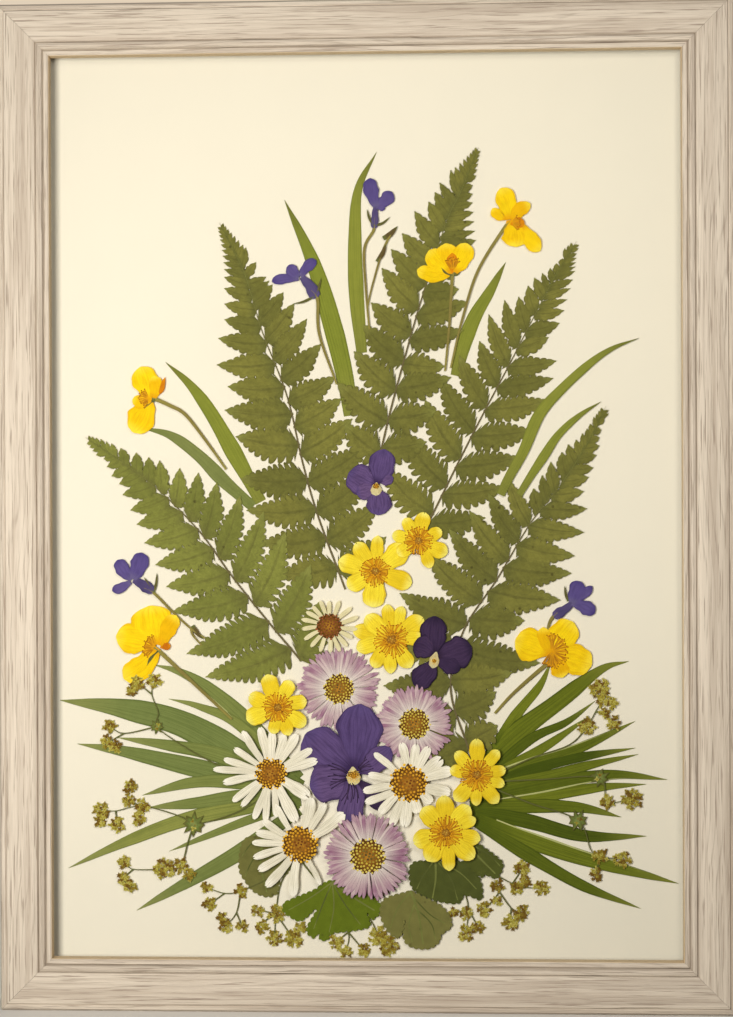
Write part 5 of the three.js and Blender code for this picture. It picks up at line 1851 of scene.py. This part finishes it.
BUTTERCUPS = (
    Flower("buttercup_left_high", 3, (
        Petal((-69, 35.5), (-74.5, 24), 9, 0.04, 0.4),
        Petal((-69.5, 34), (-72, 45), 8.7, -0.05, 0.15),
        Petal((-68, 36), (-64, 41.6), 3.2, -0.1, 0.4, Form.SPEAR,
            Look.BUTTERCUP_ORANGE),
        Petal((-67.8, 35), (-67.6, 42), 4.4, -0.08, 0.8, Form.BROAD),
        Petal((-68.5, 34), (-74.6, 34.6), 4.4, 0.1, 0.7),
    ), (
        Stem(((-68, 35), (-62.5, 32.5), (-57.5, 29.5), (-50.5, 20.5), (-44.5, 12)),
            1.3),
        sepal(((-67.4, 34.6), (-69.6, 33), (-71, 31.4)), 1.6, 0.3),
    ), (Fan((-69.4, 35), 3.4, 15, 110, 250),)),
    Flower("buttercup_right_high", 3, (
        Petal((46.5, 91), (43.5, 101), 6.6, -0.06, 0.15, Form.BROAD),
        Petal((45, 91), (40.8, 94.6), 3.4, 0.1, 0.5),
        Petal((47, 91), (48.5, 82.3), 8.6, 0.03, 0.4, Form.BROAD),
        Petal((50.6, 89.4), (55.8, 80.8), 5.4, -0.06, 0.2),
        Petal((47, 90), (52.8, 96), 4.6, 0.12, 0.9),
        Petal((46.5, 89.5), (51, 89.5), 3.4, 0.1, 0.2, look=Look.BUTTERCUP_ORANGE),
    ), (Stem(((46.5, 90.5), (44, 87.5), (36, 74.5), (31, 59), (27.4, 44)), 1.1),), (
        Fan((47, 90), 3, 12, -60, 60),
    )),
    Flower("buttercup_centre", 3, (
        Petal((28, 74.6), (16.8, 75.2), 5, 0.12, 0.3, Form.BROAD),
        Petal((27.6, 74.6), (20.6, 81.4), 6.6, 0.05, 0.15, Form.BROAD),
        Petal((28, 74.6), (26, 83.6), 7, 0.05, 0.5, Form.BROAD),
        Petal((28.4, 74.6), (32.6, 83.6), 6.8, -0.06, 0.2, Form.BROAD),
        Petal((28, 74), (28, 80.6), 3.6, 0.0, 0.25, look=Look.BUTTERCUP_ORANGE),
    ), (
        Stem(((28.3, 75), (28, 73), (27, 57.5), (25.6, 43)), 1.1),
        sepal(((28.2, 73.4), (26, 74.2), (24.4, 76)), 1.4, 0.4),
    ), (Fan((28.2, 75), 4.2, 14, 50, 130),)),
    Flower("buttercup_left_low", 3, (
        Petal((-67, -45), (-77.8, -55), 8, 0.08, 0.3, Form.BROAD),
        Petal((-67.5, -44.5), (-80.2, -41.4), 10, -0.05, 0.2),
        Petal((-66.8, -44), (-69.2, -31.6), 14, 0.02, 0.1),
        Petal((-65.8, -44.5), (-60.6, -34.8), 6, 0.06, 0.9, Form.BROAD),
        Petal((-66, -45), (-62.6, -44.4), 2.4, 0.0, 0.8, look=Look.BUTTERCUP_ORANGE),
    ), (
        Stem(((-68, -45), (-66, -46.5), (-59.5, -52.5), (-51, -60.5), (-43, -68)), 1.4),
        sepal(((-66.5, -46), (-69, -48.4), (-70.4, -51)), 1.8, 0.3),
    ), (Fan((-67.6, -45), 4.4, 22, 95, 235),)),
    Flower("buttercup_right_low", 3, (
        Petal((58.5, -47), (47.6, -42.6), 11, -0.03, 0.2),
        Petal((59.5, -47.5), (71.8, -50.6), 10, 0.03, 0.3),
        Petal((59.5, -47), (66, -37), 9.5, 0.05, 0.1),
        Petal((59.5, -48), (62.6, -54.6), 6, 0.05, 0.95),
        Petal((59, -46.8), (56.4, -38.6), 4.4, 0.08, 0.8, Form.BROAD),
    ), (Stem(((59.6, -48), (58.5, -49.5), (52, -55), (46, -60.5), (41, -66)), 1.4),), (
        Fan((59.2, -46.2), 5.8, 46, -130, 110),
    )),
)

LOBELIAS = (
    Flower("lobelia_top", 3, (
        Petal((3.6, 96), (3.2, 88.6), 2.5, 0.0, 0.3, Form.STRAP, Look.LOBELIA_TUBE),
        Petal((4, 95.6), (8.8, 100.2), 4.4, -0.08, 0.4, Form.BROAD),
        Petal((3.8, 95.6), (1.8, 104.6), 4.9, 0.05, 0.15, Form.BROAD),
        Petal((3.8, 95.2), (6.6, 94.6), 2, 0.1, 0.6),
    ), (
        Stem(((3.4, 92), (3, 88), (0, 82), (0.5, 68.5), (1.5, 56.5)), 1.0),
        Stem(((8.4, 86.5), (7, 84), (5, 79), (2, 68.5), (0.9, 63)), 0.8),
        sepal(((3, 89.5), (1.6, 92), (0.9, 94.8)), 0.9, 0.4),
        sepal(((3, 89.5), (5.8, 90.2), (8.2, 92.2)), 0.9, 0.4),
        sepal(((6, 85.4), (8.2, 86.6), (10.6, 89.2)), 1.9, 0.9),
        sepal(((4, 78), (5.8, 80.6), (7, 84)), 1.6, 0.9),
    )),
    Flower("lobelia_left_high", 3, (
        Petal((-20, 73.4), (-15.4, 66.6), 4, 0.05, 0.2, Form.STRAP, Look.LOBELIA_TUBE),
        Petal((-21, 72.8), (-29.6, 72), 3.4, -0.06, 0.3, Form.BROAD),
        Petal((-20.4, 73.4), (-15.4, 78.6), 3.6, 0.1, 0.1, Form.BROAD),
        Petal((-21, 73), (-24.2, 77.2), 4, 0.05, 0.5),
    ), (
        Stem(((-17, 69), (-15, 66), (-14.5, 55), (-9, 39)), 1.1),
        sepal(((-15.8, 67), (-14.6, 70), (-13.8, 73)), 0.9, 0.4),
        sepal(((-16.2, 67), (-19.6, 65.4), (-22.8, 64.8)), 0.9, 0.4),
    )),
    Flower("lobelia_left_low", 3, (
        Petal((-74.6, -23.4), (-68, -27.4), 3.8, 0.05, 0.6, Form.BROAD,
            Look.LOBELIA_TUBE),
        Petal((-75.4, -24), (-81.4, -26.8), 3.3, 0.05, 0.6, Form.BROAD),
        Petal((-75, -23.2), (-79.8, -17), 4.8, 0.04, 0.3, Form.BROAD),
        Petal((-74.8, -23), (-71.8, -14.6), 6, -0.06, 0.1, Form.BROAD),
    ), (
        Stem(((-71, -26), (-68, -27.5), (-62, -33.5), (-56, -39), (-51.5, -42)), 1.0),
        sepal(((-68, -27.4), (-69.4, -25), (-71.2, -22.4)), 0.9, 0.5),
        sepal(((-68, -27.4), (-67.2, -24.5), (-66.9, -21)), 0.9, 0.5),
        sepal(((-55.6, -38), (-54, -40.4), (-52, -42.4)), 1.7, 0.8),
        Stem(((-56, -39), (-55.5, -41), (-52.6, -44.4)), 0.8),
    )),
    Flower("lobelia_right", 3, (
        Petal((66, -30.6), (59.6, -35.2), 3.3, 0.05, 0.4, Form.STRAP,
            Look.LOBELIA_TUBE),
        Petal((66, -30.6), (72, -25.6), 2.8, -0.05, 0.5, Form.BROAD),
        Petal((65.6, -30.8), (72.8, -34.2), 4.6, 0.06, 0.3, Form.BROAD),
        Petal((65.6, -30.8), (68.6, -24.2), 5.4, 0.04, 0.1, Form.BROAD),
    ), (
        Stem(((61, -34), (59.5, -35.4), (58.5, -37), (57.8, -39.5)), 1.3),
        sepal(((64.4, -30.4), (63.6, -28), (63.3, -25.4)), 0.9, 0.5),
    )),
)

VIOLAS = (
    Flower("viola_top", 3, (
        Petal((4, 8), (9, 9), 4, 0.0, 0.8),
        Petal((3.8, 6.6), (-5.2, 10.8), 10, 0.05, 0.5),
        Petal((3.6, 7), (6.2, 18.2), 8.6, -0.03, 0.2),
        Petal((3.4, 6.4), (-2.8, 4.2), 5.6, 0.05, 0.9),
        Petal((3.6, 6), (4.2, -2.8), 8.3, 0.04, 0.35),
        Petal((3.6, 7.6), (3.4, 3.4), 3.6, 0.0, 0.2, look=Look.VIOLA_CREAM),
    ), discs=(Disc((3.5, 6.4), 1.1, Look.EYE, 14),)),
    Flower("viola_right", 5, (
        Petal((22, -47.4), (22, -35), 8.7, 0.03, 0.3, look=Look.VIOLA_DARK),
        Petal((22, -47.4), (15.3, -43.8), 7.8, -0.06, 0.5, look=Look.VIOLA_DARK),
        Petal((22.4, -48), (33.8, -45), 10.2, -0.03, 0.6, look=Look.VIOLA_DARK),
        Petal((22, -49), (29.8, -52.4), 5.6, 0.05, 0.2, look=Look.VIOLA_DARK),
        Petal((22, -49), (15.3, -57), 7.6, 0.06, 0.35, look=Look.VIOLA_DARK),
        Petal((22.5, -46.4), (21.2, -51.6), 3.2, 0.0, 0.3, look=Look.VIOLA_CREAM),
    ), discs=(Disc((21.8, -49.4), 1.0, Look.EYE, 12),)),
    Flower("viola_large", 7, (
        Petal((-3.6, -84), (-2, -63), 14.6, -0.02, 0.1),
        Petal((-4.6, -84), (-19.2, -72.4), 13.6, 0.03, 0.3),
        Petal((-3, -85), (7.8, -77), 8, -0.05, 0.5),
        Petal((-4.6, -86), (-18, -89.4), 12.6, 0.02, 0.7),
        Petal((-3.4, -87.6), (4.8, -97), 5, 0.1, 0.4, Form.BROAD, Look.VIOLA_DARK),
        Petal((-4.2, -86), (-5.6, -100.4), 8.8, 0.03, 0.55, Form.BROAD),
        Petal((-4.3, -83), (-3.9, -89), 4.4, 0.0, 0.2, look=Look.VIOLA_CREAM),
    ), fans=(
        Fan((-4, -86), 9, 9, 145, 215, 0.3, Look.VIOLA_DARK, 0.34),
        Fan((-4.6, -86), 9.5, 7, 245, 290, 0.3, Look.VIOLA_DARK, 0.34),
        Fan((-4, -85), 7, 6, 10, 60, 0.35, Look.VIOLA_DARK, 0.3),
    ), discs=(Disc((-4, -86.2), 2.2, Look.EYE, 40),)),
)


def round_flowers() -> list[Flower]:
    """The celandines and the daisies, from their rows of petals."""
    flowers = []
    for name, layer, at, disc, rows in CELANDINES:
        petals = round_petals(at, rows, Form.BROAD, random.Random(name))
        fan = Fan(at, disc * 1.22, 52, inner=0.3)
        middle = Disc(at, disc * 0.56, Look.DISC_CELANDINE, 40)
        flowers.append(Flower(name, layer, petals, (), (fan,), (middle,)))
    for name, layer, at, disc, rows in DAISIES:
        small = name == "daisy_4"
        look = Look.DAISY_CREAM if small else None
        slim = [(angle, reach, width * DAISY_SLIMNESS) for angle, reach, width in rows]
        petals = round_petals(at, slim, Form.STRAP, random.Random(name), look)
        finish = Look.DISC_BROWN if small else Look.DISC_DAISY
        middle = Disc(at, disc, finish, 60 if small else 100)
        flowers.append(Flower(name, layer, petals, (), (), (middle,)))
    return flowers


# ------------------------------------------------------------------ the scene


@dataclass(frozen=True)
class Lamp:
    """A soft lamp that is aimed at the middle of the picture; metres and watts."""

    name: str
    at: Triple
    size: float
    power: float
    tint: Triple = (1.0, 1.0, 1.0)
    tall: float = 0.0
    shines: bool = False

    def make(self) -> None:
        """Builds the lamp."""
        bpy.ops.object.light_add(type="AREA", location=self.at)
        lamp = bpy.context.object
        lamp.name = self.name
        lamp.data.size = self.size
        if self.tall:
            lamp.data.shape = "RECTANGLE"
            lamp.data.size_y = self.tall
        lamp.data.energy = self.power
        lamp.data.color = self.tint
        # The pane's transparent shadow already lets its light in.
        lamp.visible_transmission = False
        lamp.visible_camera = False
        lamp.visible_glossy = self.shines
        aim = Vector((0, 0, CENTRE_Z * MM)) - Vector(self.at)
        lamp.rotation_euler = aim.to_track_quat("-Z", "Y").to_euler()


WARM = (1.0, 0.97, 0.94)
LAMPS = (
    Lamp("key", (-0.17, -0.42, -0.125), 0.12, 2.0, WARM, tall=0.3),
    Lamp("top", (0.12, -0.35, 0.03), 0.12, 0.51, WARM),
    Lamp("back", (0.7, 1.0, 0.5), 0.6, 9.0, shines=True),
)


@dataclass(frozen=True)
class Setting:
    """Floor, air and camera; metres and degrees."""

    camera_at: Triple = (0.027, -0.619, -0.1291)
    yaw: float = 2.51
    pitch: float = -0.15
    roll: float = 0.21
    lens: float = 67.4
    sensor: float = 36.0
    floor_z: float = -0.29
    floor_size: float = 4.0
    air: Triple = (1.0, 0.985, 0.96)
    air_strength: float = 0.23
    mirrored_share: float = 0.2
    wall: Colour = colour(226, 208, 184)

    def make(self) -> None:
        """Builds the floor, the lamps, the air and the camera."""
        at = (0, 0, self.floor_z)
        bpy.ops.mesh.primitive_plane_add(size=self.floor_size, location=at)
        floor = bpy.context.object
        floor.name = "floor"
        material, board, shader = blank("pale_floor")
        tone = board.ramp(
            board.noise(board.place(), 3.0, 4.0),
            ((0.3, colour(214, 211, 204)), (0.7, colour(222, 219, 212))),
        )
        dress(board, shader, tone, 0.9)
        floor.data.materials.append(material)
        floor.visible_glossy = False
        floor.visible_transmission = False
        for lamp in LAMPS:
            lamp.make()
        world = bpy.data.worlds.new("studio")
        world.use_nodes = True
        board = Board(world.node_tree)
        air = world.node_tree.nodes["Background"]
        air.inputs[0].default_value = (*self.air, 1)
        # What the pane mirrors is a dim room.
        dim = (self.mirrored_share - 1) * self.air_strength
        mirrored = board.add("ShaderNodeLightPath").outputs["Is Singular Ray"]
        strength = board.sum("MULTIPLY_ADD", mirrored, dim, self.air_strength)
        board.feed(air, 1, strength)
        wall = board.add("ShaderNodeBackground", {0: self.wall, 1: 1.0}).outputs[0]
        seen = board.add("ShaderNodeLightPath").outputs["Is Camera Ray"]
        both = board.add("ShaderNodeMixShader", {0: seen, 1: air.outputs[0], 2: wall})
        board.feed(world.node_tree.nodes["World Output"], "Surface", both.outputs[0])
        world.cycles_visibility.transmission = False
        scene = bpy.context.scene
        scene.world = world
        scene.view_settings.view_transform = "Standard"
        scene.view_settings.look = "None"
        bpy.ops.object.camera_add()
        camera = bpy.context.object
        camera.name = "camera"
        camera.data.lens = self.lens
        camera.data.sensor_width = self.sensor
        camera.data.clip_start = 0.01
        turn = (
            Matrix.Rotation(math.radians(self.yaw), 4, "Z")
            @ Matrix.Rotation(math.radians(self.pitch), 4, "X")
            @ Matrix.Rotation(math.radians(self.roll), 4, "Y")
        )
        upright = Matrix.Rotation(math.radians(90), 4, "X")
        camera.matrix_world = Matrix.Translation(self.camera_at) @ turn @ upright
        scene.camera = camera


def finish_holder(nodes: dict[str, Piece], effects: Effects) -> None:
    """Gives the frame's own solids their materials."""
    wood, holder = LimedWood(), HolderFinishes()
    zinc = holder.make_zinc(effects)
    given = {
        "rail_left": wood.make(GrainWay.UPRIGHT, effects),
        "rail_top": wood.make(GrainWay.LEVEL, effects), "glass": holder.make_glass(),
        "mount_card": holder.make_card(effects),
        "backboard": holder.make_board(effects), "sawtooth_hanger": zinc,
    }
    given["rail_right"], given["rail_bottom"] = given["rail_left"], given["rail_top"]
    for name in nodes:
        if name.startswith("tab_"):
            given[name] = zinc
    for name, material in given.items():
        nodes[name].data.materials.clear()
        nodes[name].data.materials.append(material)
        LOG.info("%s: %s", name, material.name)


def main() -> None:
    """Builds the scene."""
    logging.basicConfig(level=logging.INFO, format="%(message)s")
    bpy.ops.object.select_all(action="SELECT")
    bpy.ops.object.delete()
    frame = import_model()
    Setting().make()
    bench = Bench()
    finish_holder(frame["nodes"], bench.effects)
    plants = (
        *FERNS, *GRASSES, *BUTTERCUPS, *LOBELIAS, *VIOLAS,
        *round_flowers(), *ASTERS, *LEAVES, *SPRAYS,
    )
    for plant in plants:
        plant.make(bench)


if __name__ == "__main__":
    main()
